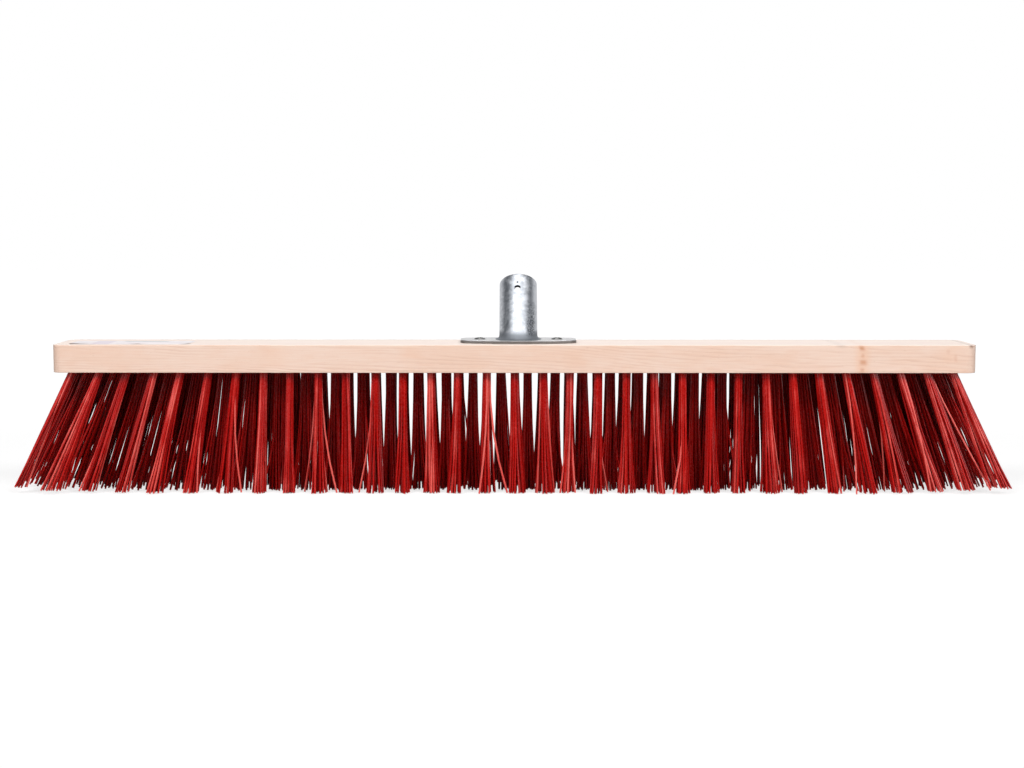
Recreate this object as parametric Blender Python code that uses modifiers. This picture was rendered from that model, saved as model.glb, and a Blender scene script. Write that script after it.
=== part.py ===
"""Head of a push broom: a beech block, four rows of red bristle tufts and a galvanised handle socket.

Metres, +Z up. The origin is on the floor under the middle of the broom. +X runs along the block, and the
socket leans to +Y, the side where the person stands.
"""
import math
import random

import bmesh
import bpy
from mathutils import Matrix, Vector

MM = 0.001
GAP = 0.3 * MM                       # clearance between two pieces that touch

# Beech block
BLOCK_LENGTH = 800 * MM
BLOCK_WIDTH = 70 * MM
BLOCK_THICKNESS = 24 * MM
BLOCK_CORNER = 9.5 * MM              # radius of the four corners, seen from above
BLOCK_CORNER_STEPS = 6
BLOCK_EDGE = 0.7 * MM                # rounding of the top and bottom edges
BLOCK_EDGE_STEPS = 2

# Tufts: staggered rows, set in wooden strips that lie in grooves of the block
ROWS = 4
ROW_MARGIN = 8 * MM                  # from the block's long side to the middle of the outer row
TUFT_PITCH = 24.34 * MM
END_MARGIN = 10 * MM                 # least wood beyond the middle of the last tuft
SLICE_NAMES = ("far_left", "left", "middle", "right", "far_right")
STRIP_WIDTH = 9 * MM
STRIP_THICKNESS = 5 * MM
STRIP_OVERHANG = 5 * MM              # strip beyond the middle of the last tuft

# Bristles
BRISTLE_LENGTH = 105 * MM            # free length below the block
FLOOR_TRIM = 0.5 * MM                # cut off flat where the broom stands
RAGGED = 2 * MM                      # how much shorter some bristles are
END_RISE = 3 * MM                    # how much higher the tips of the last tuft of a row end
END_LEAN = math.radians(23.2)        # outward lean of the last tuft of a row
END_DRAW_IN = 7 * MM                 # how far the last tuft of a row is drawn in to its neighbours
FAN_LENGTH = 195 * MM                # stretch at each end over which the lean and the draw-in grow
OUTER_ROW_LEAN = math.radians(4.5)   # lean of the outer rows to the front and back
STRANDS_PER_TUFT = 3
STRAND_ROOT = 2.0 * MM               # width of a square strand at the block
STRAND_TIP = 1.7 * MM
STRAND_EMBED = 1.5 * MM              # depth of a strand in its strip
ROOT_RING = 2.2 * MM                 # radius on which a tuft's strands leave the block
TIP_CLEARANCE = 3.1 * MM             # from a tuft's ring of tips to the middle between two tufts
TIP_SCATTER = 1.2 * MM
TUFT_TWIST = 0.3                     # greatest turn of a tuft about its middle, in radians
SEED = 7

# Handle socket: a tube with a flared foot on a pressed flange
HANDLE_DIAMETER = 28 * MM
HANDLE_CLEARANCE = 0.6 * MM          # all round the handle
TUBE_WALL = 2.2 * MM
TUBE_LENGTH = 59.3 * MM              # along its axis, from the flange to the mouth
TUBE_LEAN = math.radians(39)         # from upright, to +Y
TUBE_SIDES = 40
FOOT_SPREAD = 2.0 * MM               # foot rim beyond the long side of the tube's oblique section
FOOT_HEIGHT = 6.5 * MM               # height of the flare, measured along the tube
FOOT_STEPS = 4
SOCKET_RIGHT = 3.5 * MM              # the socket is screwed on by hand, a little off the middle
SOCKET_BACK = 4.0 * MM
HOLE_DIAMETER = 5 * MM               # for the nail or screw that holds the handle
HOLE_BELOW_MOUTH = 16 * MM
HOLE_SIDES = 16
FLANGE_LENGTH = 102 * MM
FLANGE_THICKNESS = 2.4 * MM
FLANGE_RIM = 0.5 * MM                # flange in front of and behind the foot
FLANGE_BOW = 150 * MM                # radius of the bowed long sides
FLANGE_CORNER = 9 * MM
FLANGE_EDGE = 0.4 * MM
FLANGE_STEPS = 6                     # points on each round corner, and on each half of a bowed side

# Raised countersunk wood screws
SCREW_SPACING = 68 * MM
SCREW_SHANK = 4.5 * MM
SCREW_HEAD = 10.2 * MM
SCREW_CROWN = 1.6 * MM               # height of the domed head above the flange
CROWN_STEPS = 4
SCREW_LENGTH = 20 * MM               # below the top of the flange
SCREW_POINT = 4 * MM
SCREW_SIDES = 24
RECESS_SPAN = 4.8 * MM
RECESS_WIDTH = 0.9 * MM
RECESS_DEPTH = 1.6 * MM
SCREW_TURNS = {"screw_left": math.radians(20), "screw_right": math.radians(55)}

# Sizes that follow from the ones above
BLOCK_BOTTOM = BRISTLE_LENGTH
BLOCK_TOP = BLOCK_BOTTOM + BLOCK_THICKNESS
OUTER_ROW = BLOCK_WIDTH / 2 - ROW_MARGIN
COLUMNS = 1 + int((BLOCK_LENGTH - 2 * END_MARGIN) / TUFT_PITCH)
FAN_START = (COLUMNS - 1) / 2 * TUFT_PITCH - FAN_LENGTH
LAST_TUFT = FAN_START + FAN_LENGTH - END_DRAW_IN
STRIP_END = LAST_TUFT + STRIP_OVERHANG
BORE_RADIUS = HANDLE_DIAMETER / 2 + HANDLE_CLEARANCE
TUBE_RADIUS = BORE_RADIUS + TUBE_WALL
TUBE_AXIS = Vector((0, math.sin(TUBE_LEAN), math.cos(TUBE_LEAN)))
TUBE_BACK = Vector((0, math.cos(TUBE_LEAN), -math.sin(TUBE_LEAN)))
FOOT_RADIUS = TUBE_RADIUS / math.cos(TUBE_LEAN) + FOOT_SPREAD
FLANGE_HALF_WIDTH = FOOT_RADIUS + FLANGE_RIM
FLANGE_BOTTOM = BLOCK_TOP + GAP
FLANGE_TOP = FLANGE_BOTTOM + FLANGE_THICKNESS
FOOT_BOTTOM = FLANGE_TOP + GAP
TUBE_BASE = Vector((SOCKET_RIGHT, SOCKET_BACK, FOOT_BOTTOM))
HEAD_DEPTH = (SCREW_HEAD - SCREW_SHANK) / 2
REACH = 10 * MM                      # how far a cutter runs past what it cuts

# Colours in sRGB, with roughness and metallic
FINISHES = {
    "beech": ((0.94, 0.83, 0.76), 0.55, 0.0),
    "red_bristle": ((0.78, 0.09, 0.10), 0.35, 0.0),
    "galvanised_tube": ((0.66, 0.67, 0.69), 0.35, 1.0),
    "galvanised_flange": ((0.60, 0.60, 0.60), 0.40, 1.0),
    "zinc_screw": ((0.72, 0.72, 0.72), 0.30, 1.0),
}


def clear_scene():
    """Remove every object of the open scene."""
    for item in list(bpy.data.objects):
        bpy.data.objects.remove(item, do_unlink=True)


def new_collection(name):
    """Return a new collection linked to the scene."""
    collection = bpy.data.collections.new(name)
    bpy.context.scene.collection.children.link(collection)
    return collection


def linear(value):
    """Turn one sRGB channel into a linear one."""
    return value / 12.92 if value <= 0.04045 else ((value + 0.055) / 1.055) ** 2.4


def new_material(name, finish):
    """Return a Principled material in one of the finishes."""
    colour, roughness, metallic = FINISHES[finish]
    material = bpy.data.materials.new(name)
    material.use_nodes = True
    shader = material.node_tree.nodes["Principled BSDF"]
    shader.inputs["Base Color"].default_value = (*(linear(value) for value in colour), 1)
    shader.inputs["Roughness"].default_value = roughness
    shader.inputs["Metallic"].default_value = metallic
    return material


def mesh_from(bm, name):
    """Turn a bmesh into a mesh, with its normals facing out."""
    bmesh.ops.recalc_face_normals(bm, faces=bm.faces)
    mesh = bpy.data.meshes.new(name)
    bm.to_mesh(mesh)
    bm.free()
    return mesh


def add_part(name, mesh, finish, collection):
    """Add a piece of the broom with a material of its own."""
    mesh.materials.append(new_material(name, finish))
    part = bpy.data.objects.new(name, mesh)
    collection.objects.link(part)
    return part


def add_cutter(name, mesh, collection):
    """Add a solid that only shapes another one."""
    cutter = bpy.data.objects.new(name, mesh)
    cutter.hide_render = True
    cutter.display_type = "WIRE"
    collection.objects.link(cutter)
    return cutter


def boolean(part, cutter, operation="DIFFERENCE"):
    """Cut a solid out of a part, or join it to the part."""
    modifier = part.modifiers.new(cutter.name, "BOOLEAN")
    modifier.operation = operation
    modifier.solver = "EXACT"
    modifier.object = cutter
    return modifier


def bevel(part, width, segments):
    """Round the sharp edges of a part."""
    modifier = part.modifiers.new("rounded_edges", "BEVEL")
    modifier.width = width
    modifier.segments = segments
    modifier.limit_method = "ANGLE"
    modifier.angle_limit = math.radians(50)


def box(name, low, high):
    """Return the mesh of a box between two opposite corners."""
    bm = bmesh.new()
    middle = (Vector(low) + Vector(high)) / 2
    size = Vector(high) - Vector(low)
    bmesh.ops.create_cube(bm, size=1, matrix=Matrix.Translation(middle) @ Matrix.Diagonal((*size, 1)))
    return mesh_from(bm, name)


def cylinder(name, radius, start, end, sides):
    """Return the mesh of a round bar from one point to another."""
    start = Vector(start)
    end = Vector(end)
    along = end - start
    turn = along.to_track_quat("Z", "Y").to_matrix().to_4x4()
    bm = bmesh.new()
    bmesh.ops.create_cone(bm, cap_ends=True, segments=sides, radius1=radius, radius2=radius,
                          depth=along.length, matrix=Matrix.Translation((start + end) / 2) @ turn)
    return mesh_from(bm, name)


def turned(name, profile):
    """Return the mesh of a (radius, height) outline, which the Screw modifier of turn() turns round Z."""
    mesh = bpy.data.meshes.new(name)
    edges = [(index, index + 1) for index in range(len(profile) - 1)]
    mesh.from_pydata([(radius, 0, height) for radius, height in profile], edges, [])
    return mesh


def turn(part, sides):
    """Give a turned outline its Screw modifier."""
    modifier = part.modifiers.new("turned", "SCREW")
    modifier.axis = "Z"
    modifier.steps = sides
    modifier.render_steps = sides
    modifier.use_merge_vertices = True
    modifier.merge_threshold = 0.00001


def smooth(part, angle=40):
    """Shade a round piece smooth, except at its sharp edges."""
    part.data.shade_smooth()
    part.data.set_sharp_from_angle(angle=math.radians(angle))


# ---- Block ----

def make_block(parts, cutters):
    """The beech block, with a groove for each row's strips and pilot holes for the screws."""
    bm = bmesh.new()
    size = (BLOCK_LENGTH, BLOCK_WIDTH, BLOCK_THICKNESS, 1)
    middle = Matrix.Translation((0, 0, (BLOCK_BOTTOM + BLOCK_TOP) / 2))
    bmesh.ops.create_cube(bm, size=1, matrix=middle @ Matrix.Diagonal(size))
    upright = [edge for edge in bm.edges if edge.verts[0].co.xy == edge.verts[1].co.xy]
    bmesh.ops.bevel(bm, geom=upright, offset=BLOCK_CORNER, segments=BLOCK_CORNER_STEPS, profile=0.5,
                    affect="EDGES")
    block = add_part("wood_block", mesh_from(bm, "wood_block"), "beech", parts)
    bevel(block, BLOCK_EDGE, BLOCK_EDGE_STEPS)
    for row in range(ROWS):
        y = row_y(row)
        half = STRIP_WIDTH / 2 + GAP
        low = (-STRIP_END - GAP, y - half, BLOCK_BOTTOM - REACH)
        high = (STRIP_END + GAP, y + half, BLOCK_BOTTOM + STRIP_THICKNESS + GAP)
        name = f"groove_{row + 1}"
        boolean(block, add_cutter(name, box(name, low, high), cutters))
    for side, x in screw_places():
        name = f"pilot_hole_{side}"
        bottom = FLANGE_TOP - SCREW_LENGTH - GAP
        start = (x, SOCKET_BACK, bottom)
        end = (x, SOCKET_BACK, BLOCK_TOP + REACH)
        mesh = cylinder(name, SCREW_SHANK / 2 + GAP, start, end, SCREW_SIDES)
        boolean(block, add_cutter(name, mesh, cutters))


def row_y(row):
    """Return the y of a row, counted from the front."""
    return -OUTER_ROW + row * 2 * OUTER_ROW / (ROWS - 1)


def screw_places():
    """Return the name and x of each screw."""
    half = SCREW_SPACING / 2
    return (("left", SOCKET_RIGHT - half), ("right", SOCKET_RIGHT + half))


# ---- Tufts ----

def tuft_places(row):
    """Return the x of each tuft of a row. Every second row is shifted by half a pitch and has one less.

    Towards the ends the tufts stand a little closer.
    """
    count = COLUMNS - row % 2
    even = [(index - (count - 1) / 2) * TUFT_PITCH for index in range(count)]
    shares = [max(0, abs(x) - FAN_START) / FAN_LENGTH for x in even]
    return [x - math.copysign(share * END_DRAW_IN, x) for x, share in zip(even, shares)]


def fan_share(x):
    """Return 0 in the straight middle of a row, growing to 1 at its last tuft."""
    return max(0, abs(x) - FAN_START) / (LAST_TUFT - FAN_START)


def tuft_lean(x, y):
    """Return how far a tuft leans along X and along Y for each unit that it goes down."""
    sideways = math.tan(fan_share(x) * END_LEAN) * math.copysign(1, x)
    return Vector((sideways, math.tan(OUTER_ROW_LEAN * y / OUTER_ROW)))


def tuft_strands(x, y, rng):
    """Return a tuft's strands, each as its root, its slope and its depth below the block.

    The strands leave on a small ring and end on a wide one. Each keeps its place round the rings, so
    no two of them cross.
    """
    tip_ring = TUFT_PITCH / 2 - TIP_CLEARANCE
    first = rng.uniform(-TUFT_TWIST, TUFT_TWIST) + rng.choice((-1, 1)) * math.pi / 2
    strands = []
    for index in range(STRANDS_PER_TUFT):
        angle = first + index * 2 * math.pi / STRANDS_PER_TUFT
        spoke = Vector((math.cos(angle), math.sin(angle)))
        scatter = Vector((rng.uniform(-1, 1), rng.uniform(-1, 1))) * TIP_SCATTER
        root = Vector((x, y)) + spoke * ROOT_RING
        slope = tuft_lean(x, y) + (spoke * (tip_ring - ROOT_RING) + scatter) / BRISTLE_LENGTH
        length = BRISTLE_LENGTH + FLOOR_TRIM - max(0, rng.uniform(-RAGGED, RAGGED))
        depth = min(BRISTLE_LENGTH, length - END_RISE * fan_share(x) ** 4)
        strands.append((root, slope, depth))
    return strands


def add_strand(bm, root, slope, depth):
    """Add a straight strand with level ends, tapered from root to tip, that starts inside the strip."""
    height = depth + STRAND_EMBED
    top = Vector((*(root - slope * STRAND_EMBED), BLOCK_BOTTOM + STRAND_EMBED))
    tip = Vector((*(root + slope * depth), BLOCK_BOTTOM - depth))
    along = (top - tip) / height
    shear = Matrix.Identity(4)
    shear[0][2] = along.x
    shear[1][2] = along.y
    corner = math.sqrt(0.5)
    bmesh.ops.create_cone(bm, cap_ends=True, segments=4, radius1=STRAND_TIP * corner,
                          radius2=STRAND_ROOT * corner, depth=height,
                          matrix=Matrix.Translation((top + tip) / 2) @ shear)


def make_tufts(parts, cutters):
    """The tufts of each row, in slices: a wooden strip with its tufts' strands fused to it."""
    rng = random.Random(SEED)
    every_strand = []
    for row in range(ROWS):
        y = row_y(row)
        places = tuft_places(row)
        cuts = [round(index * len(places) / len(SLICE_NAMES)) for index in range(len(SLICE_NAMES) + 1)]
        for name, first, end in zip(SLICE_NAMES, cuts, cuts[1:]):
            node = f"tufts_row_{row + 1}_{name}"
            left = -STRIP_END if first == 0 else places[first] - TUFT_PITCH / 2 + GAP / 2
            right = STRIP_END if end == len(places) else places[end] - TUFT_PITCH / 2 - GAP / 2
            low = (left, y - STRIP_WIDTH / 2, BLOCK_BOTTOM)
            high = (right, y + STRIP_WIDTH / 2, BLOCK_BOTTOM + STRIP_THICKNESS)
            strip = add_part(node, box(node, low, high), "beech", parts)
            bm = bmesh.new()
            for x in places[first:end]:
                for strand in tuft_strands(x, y, rng):
                    add_strand(bm, *strand)
                    every_strand.append(strand)
            bristles = add_cutter(f"{node}_strands", mesh_from(bm, f"{node}_strands"), cutters)
            bristles.data.materials.append(new_material(f"{node}_bristles", "red_bristle"))
            boolean(strip, bristles, "UNION").material_mode = "TRANSFER"
    gap = least_gap(every_strand)
    print(f"{len(every_strand)} strands, none crossing: the least gap between two is {gap / MM:.2f} mm")


def least_gap(strands):
    """Return the least distance between two strands, measured level and between their corners' circles."""
    least = math.inf
    for index, (root, slope, depth) in enumerate(strands):
        for other_root, other_slope, other_depth in strands[index + 1:]:
            apart = other_root - root
            if apart.length > 4 * TUFT_PITCH:
                continue
            spread = other_slope - slope
            nearest = -apart.dot(spread) / max(spread.length_squared, 1e-12)
            nearest = min(max(nearest, 0), min(depth, other_depth))
            least = min(least, (apart + spread * nearest).length)
    return least - STRAND_ROOT * math.sqrt(2)


# ---- Handle socket ----

def tube_point(radius, angle, along):
    """Return a point of a tube-shaped surface: its angle round the axis and its distance along it."""
    across = math.cos(angle) * Vector((1, 0, 0)) + math.sin(angle) * TUBE_BACK
    return TUBE_BASE + along * TUBE_AXIS + radius * across


def foot_point(radius, angle):
    """Return the point where a line along the tube meets the level plane of the foot."""
    return tube_point(radius, angle, radius * math.sin(angle) * math.tan(TUBE_LEAN))


def flare(angle):
    """Return the curve from the tube's side out to the round rim of the foot, top to bottom."""
    corner = foot_point(TUBE_RADIUS, angle)
    outward = (corner - TUBE_BASE).normalized()
    rim = TUBE_BASE + outward * FOOT_RADIUS
    start = corner + TUBE_AXIS * FOOT_HEIGHT
    points = []
    for step in range(FOOT_STEPS + 1):
        t = step / FOOT_STEPS
        points.append((1 - t) ** 2 * start + 2 * t * (1 - t) * corner + t ** 2 * rim)
    return points


def make_tube(parts, cutters):
    """The socket tube: its flared foot is a loft from the round tube to the round rim on the flange."""
    bm = bmesh.new()
    loops = []
    for side in range(TUBE_SIDES):
        angle = 2 * math.pi * side / TUBE_SIDES
        outside = [tube_point(TUBE_RADIUS, angle, TUBE_LENGTH)] + flare(angle)
        inside = [foot_point(BORE_RADIUS, angle), tube_point(BORE_RADIUS, angle, TUBE_LENGTH)]
        loops.append([bm.verts.new(point) for point in outside + inside])
    count = len(loops[0])
    for side, loop in enumerate(loops):
        following = loops[(side + 1) % TUBE_SIDES]
        for index in range(count):
            after = (index + 1) % count
            bm.faces.new((loop[index], loop[after], following[after], following[index]))
    tube = add_part("socket_tube", mesh_from(bm, "socket_tube"), "galvanised_tube", parts)
    smooth(tube)
    place = TUBE_BASE + TUBE_AXIS * (TUBE_LENGTH - HOLE_BELOW_MOUTH)
    inner = place - TUBE_BACK * BORE_RADIUS / 2
    outer = place - TUBE_BACK * (TUBE_RADIUS + REACH)
    hole = cylinder("handle_hole", HOLE_DIAMETER / 2, inner, outer, HOLE_SIDES)
    boolean(tube, add_cutter("handle_hole", hole, cutters))


def flange_outline():
    """Return the flange's outline, anticlockwise: bowed long sides and round corners tangent to them."""
    half_length = FLANGE_LENGTH / 2
    corner_x = half_length - FLANGE_CORNER
    bow_y = FLANGE_HALF_WIDTH - FLANGE_BOW
    corner_y = bow_y + math.sqrt((FLANGE_BOW - FLANGE_CORNER) ** 2 - corner_x ** 2)
    meet = math.atan2(corner_y - bow_y, corner_x)
    quarter = []
    for step in range(FLANGE_STEPS + 1):
        angle = meet * step / FLANGE_STEPS
        x = corner_x + FLANGE_CORNER * math.cos(angle)
        quarter.append((x, corner_y + FLANGE_CORNER * math.sin(angle)))
    for step in range(1, FLANGE_STEPS + 1):
        angle = meet + (math.pi / 2 - meet) * step / FLANGE_STEPS
        quarter.append((FLANGE_BOW * math.cos(angle), bow_y + FLANGE_BOW * math.sin(angle)))
    half = quarter + [(-x, y) for x, y in reversed(quarter[:-1])]
    return half + [(-x, -y) for x, y in half]


def make_flange(parts, cutters):
    """The pressed flange under the tube, open to the bore and countersunk for its two screws."""
    curve = bpy.data.curves.new("flange_outline", "CURVE")
    curve.dimensions = "2D"
    curve.fill_mode = "BOTH"
    curve.extrude = FLANGE_THICKNESS / 2
    points = flange_outline()
    spline = curve.splines.new("POLY")
    spline.points.add(len(points) - 1)
    for point, (x, y) in zip(spline.points, points):
        point.co = (x, y, 0, 1)
    spline.use_cyclic_u = True
    outline = bpy.data.objects.new("flange_outline", curve)
    outline.location = (SOCKET_RIGHT, SOCKET_BACK, (FLANGE_BOTTOM + FLANGE_TOP) / 2)
    parts.objects.link(outline)
    bpy.context.view_layer.update()
    evaluated = outline.evaluated_get(bpy.context.evaluated_depsgraph_get())
    bm = bmesh.new()
    bm.from_mesh(bpy.data.meshes.new_from_object(evaluated))
    bmesh.ops.remove_doubles(bm, verts=bm.verts, dist=0.00001)
    mesh = mesh_from(bm, "socket_flange")
    flange = add_part("socket_flange", mesh, "galvanised_flange", parts)
    flange.matrix_world = outline.matrix_world.copy()
    bpy.data.objects.remove(outline, do_unlink=True)
    bevel(flange, FLANGE_EDGE, 1)
    bore = cylinder("flange_bore", BORE_RADIUS, TUBE_BASE - TUBE_AXIS * 2 * REACH,
                    TUBE_BASE + TUBE_AXIS * 2 * REACH, TUBE_SIDES)
    boolean(flange, add_cutter("flange_bore", bore, cutters))
    hole = SCREW_SHANK / 2 + GAP
    profile = ((0, REACH), (hole + HEAD_DEPTH, REACH), (hole + HEAD_DEPTH, 0), (hole, -HEAD_DEPTH),
               (hole, -REACH), (0, -REACH))
    for side, x in screw_places():
        name = f"countersink_{side}"
        cutter = add_cutter(name, turned(name, profile), cutters)
        cutter.location = (x, SOCKET_BACK, FLANGE_TOP)
        turn(cutter, SCREW_SIDES)
        boolean(flange, cutter)


# ---- Screws ----

def screw_profile():
    """Return the outline of a raised countersunk screw, from the middle of its crown to its point."""
    head = SCREW_HEAD / 2
    shank = SCREW_SHANK / 2
    shares = [step / CROWN_STEPS for step in range(CROWN_STEPS + 1)]
    crown = [(head * share, SCREW_CROWN * (1 - share ** 2)) for share in shares]
    return crown + [(shank, -HEAD_DEPTH), (shank, SCREW_POINT - SCREW_LENGTH), (0, -SCREW_LENGTH)]


def make_screws(parts, cutters):
    """The two screws that hold the flange on the block, with a cross recess in each head."""
    for side, x in screw_places():
        name = f"screw_{side}"
        screw = add_part(name, turned(name, screw_profile()), "zinc_screw", parts)
        screw.location = (x, SOCKET_BACK, FLANGE_TOP)
        turn(screw, SCREW_SIDES)
        for blade in range(2):
            title = f"{name}_recess_{blade + 1}"
            low = (-RECESS_SPAN / 2, -RECESS_WIDTH / 2, SCREW_CROWN - RECESS_DEPTH)
            high = (RECESS_SPAN / 2, RECESS_WIDTH / 2, SCREW_CROWN + REACH)
            cutter = add_cutter(title, box(title, low, high), cutters)
            cutter.location = screw.location
            cutter.rotation_euler.z = SCREW_TURNS[name] + blade * math.pi / 2
            boolean(screw, cutter)


def main():
    """Build the whole broom head."""
    clear_scene()
    parts = new_collection("push_broom")
    cutters = new_collection("cutters")
    make_block(parts, cutters)
    make_tufts(parts, cutters)
    make_flange(parts, cutters)
    make_tube(parts, cutters)
    make_screws(parts, cutters)


main()
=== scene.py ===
"""Dresses the head of a push broom: beech block, galvanised handle socket, fanned red bristles.

Metres, +Z up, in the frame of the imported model: the broom stands on the floor at z = 0, +X runs
along the block and the socket leans to +Y. Driving sizes are given in millimetres, turned with MM.
"""

import logging
import math
import random
from abc import ABC, abstractmethod
from collections.abc import Iterable, Mapping, Sequence
from dataclasses import dataclass
from enum import Enum
from typing import Any

import bmesh
import bpy
from mathutils import Matrix, Vector


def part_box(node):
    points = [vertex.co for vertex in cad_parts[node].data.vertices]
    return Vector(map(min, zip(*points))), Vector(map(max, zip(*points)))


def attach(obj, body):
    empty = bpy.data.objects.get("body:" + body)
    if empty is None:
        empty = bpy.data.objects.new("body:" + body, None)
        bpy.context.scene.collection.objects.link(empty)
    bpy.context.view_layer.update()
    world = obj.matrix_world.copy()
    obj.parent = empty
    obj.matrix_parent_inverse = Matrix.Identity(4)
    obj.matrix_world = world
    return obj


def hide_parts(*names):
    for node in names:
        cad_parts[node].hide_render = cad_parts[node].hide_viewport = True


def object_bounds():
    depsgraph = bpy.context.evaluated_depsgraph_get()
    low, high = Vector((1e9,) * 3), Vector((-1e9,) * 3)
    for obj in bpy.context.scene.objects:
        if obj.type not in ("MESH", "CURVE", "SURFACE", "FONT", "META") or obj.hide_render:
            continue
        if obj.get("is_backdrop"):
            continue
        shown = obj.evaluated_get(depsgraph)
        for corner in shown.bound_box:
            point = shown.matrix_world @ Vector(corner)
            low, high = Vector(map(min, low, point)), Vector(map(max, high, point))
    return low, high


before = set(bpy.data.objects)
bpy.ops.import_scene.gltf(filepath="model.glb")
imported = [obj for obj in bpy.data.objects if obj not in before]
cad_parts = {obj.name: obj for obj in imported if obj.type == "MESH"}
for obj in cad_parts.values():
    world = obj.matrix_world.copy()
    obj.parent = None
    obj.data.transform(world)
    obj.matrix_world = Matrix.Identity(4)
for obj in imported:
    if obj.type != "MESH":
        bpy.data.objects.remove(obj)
CAD_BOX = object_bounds()

MM = 0.001
BODY = "root"                        # the one body of a broom head without joints
TONE, CUT = "tone", "cut"            # marks on the bristles' points that their material reads
SMOOTH_ANGLE = math.radians(38)      # edges sharper than this stay crisp
Colour = tuple[float, float, float, float]
Point = tuple[float, float, float]
ORIGIN: Point = (0.0, 0.0, 0.0)
WHITE: Colour = (1.0, 1.0, 1.0, 1.0)

log = logging.getLogger("broom")


class Slot(Enum):
    """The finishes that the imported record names."""

    BEECH = "beech"
    BRISTLE = "red_bristle"
    GALVANISED = "galvanised_steel"
    ZINC = "zinc_screw"


def srgb(red: float, green: float, blue: float) -> Colour:
    """Turn a colour in sRGB, 0 to 255, into the linear one that a socket takes.

    Args:
        red, green, blue: The channels, 0 to 255.

    Returns:
        The linear colour with full alpha.
    """
    shares = (channel / 255 for channel in (red, green, blue))
    linear = (s / 12.92 if s <= 0.04045 else ((s + 0.055) / 1.055) ** 2.4 for s in shares)
    return (*linear, 1.0)


# ---- Shader trees ----

@dataclass(frozen=True)
class Wire:
    """One output of a shader tree. Arithmetic on wires adds Math nodes to the tree."""

    tree: "ShaderTree"
    socket: bpy.types.NodeSocket

    def math(self, operation: str, *others: "Wire | float") -> "Wire":
        """Add a Math node of this operation, with this wire as its first value."""
        feeds = dict(enumerate((self, *others)))
        return self.tree.node("ShaderNodeMath", {"operation": operation}, feeds)

    def reflected(self, operation: str, first: float) -> "Wire":
        """Add a Math node of this operation, with a number first and this wire second."""
        return self.tree.node("ShaderNodeMath", {"operation": operation}, {0: first, 1: self})

    def __add__(self, other: "Wire | float") -> "Wire":
        """Return the sum."""
        return self.math("ADD", other)

    def __radd__(self, other: float) -> "Wire":
        """Return the sum with a number first."""
        return self.reflected("ADD", other)

    def __sub__(self, other: "Wire | float") -> "Wire":
        """Return the difference."""
        return self.math("SUBTRACT", other)

    def __rsub__(self, other: float) -> "Wire":
        """Return a number less this wire."""
        return self.reflected("SUBTRACT", other)

    def __mul__(self, other: "Wire | float") -> "Wire":
        """Return the product."""
        return self.math("MULTIPLY", other)

    def __rmul__(self, other: float) -> "Wire":
        """Return the product with a number first."""
        return self.reflected("MULTIPLY", other)

    def __truediv__(self, other: "Wire | float") -> "Wire":
        """Return the quotient."""
        return self.math("DIVIDE", other)

    def __rtruediv__(self, other: float) -> "Wire":
        """Return a number over this wire."""
        return self.reflected("DIVIDE", other)

    def step(self, low: float, high: float) -> "Wire":
        """Return 0 below low, 1 above high and a smooth rise between; high under low turns it.

        Args:
            low: Where the rise starts.
            high: Where it ends.

        Returns:
            The wire of the rise, from 0 to 1.
        """
        settings = {"interpolation_type": "SMOOTHSTEP"}
        feeds = {"Value": self, "From Min": low, "From Max": high, "To Min": 0.0, "To Max": 1.0}
        if low > high:
            feeds.update({"From Min": high, "From Max": low, "To Min": 1.0, "To Max": 0.0})
        return self.tree.node("ShaderNodeMapRange", settings, feeds)


@dataclass(frozen=True)
class Mottle:
    """A smooth noise over a piece, with one lump to a unit of its scaled place."""

    scale: Point                     # factor on each axis, for a place in millimetres
    shift: Point = ORIGIN            # millimetres added before the scale
    detail: float = 2.0
    roughness: float = 0.5
    distortion: float = 0.0


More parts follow.
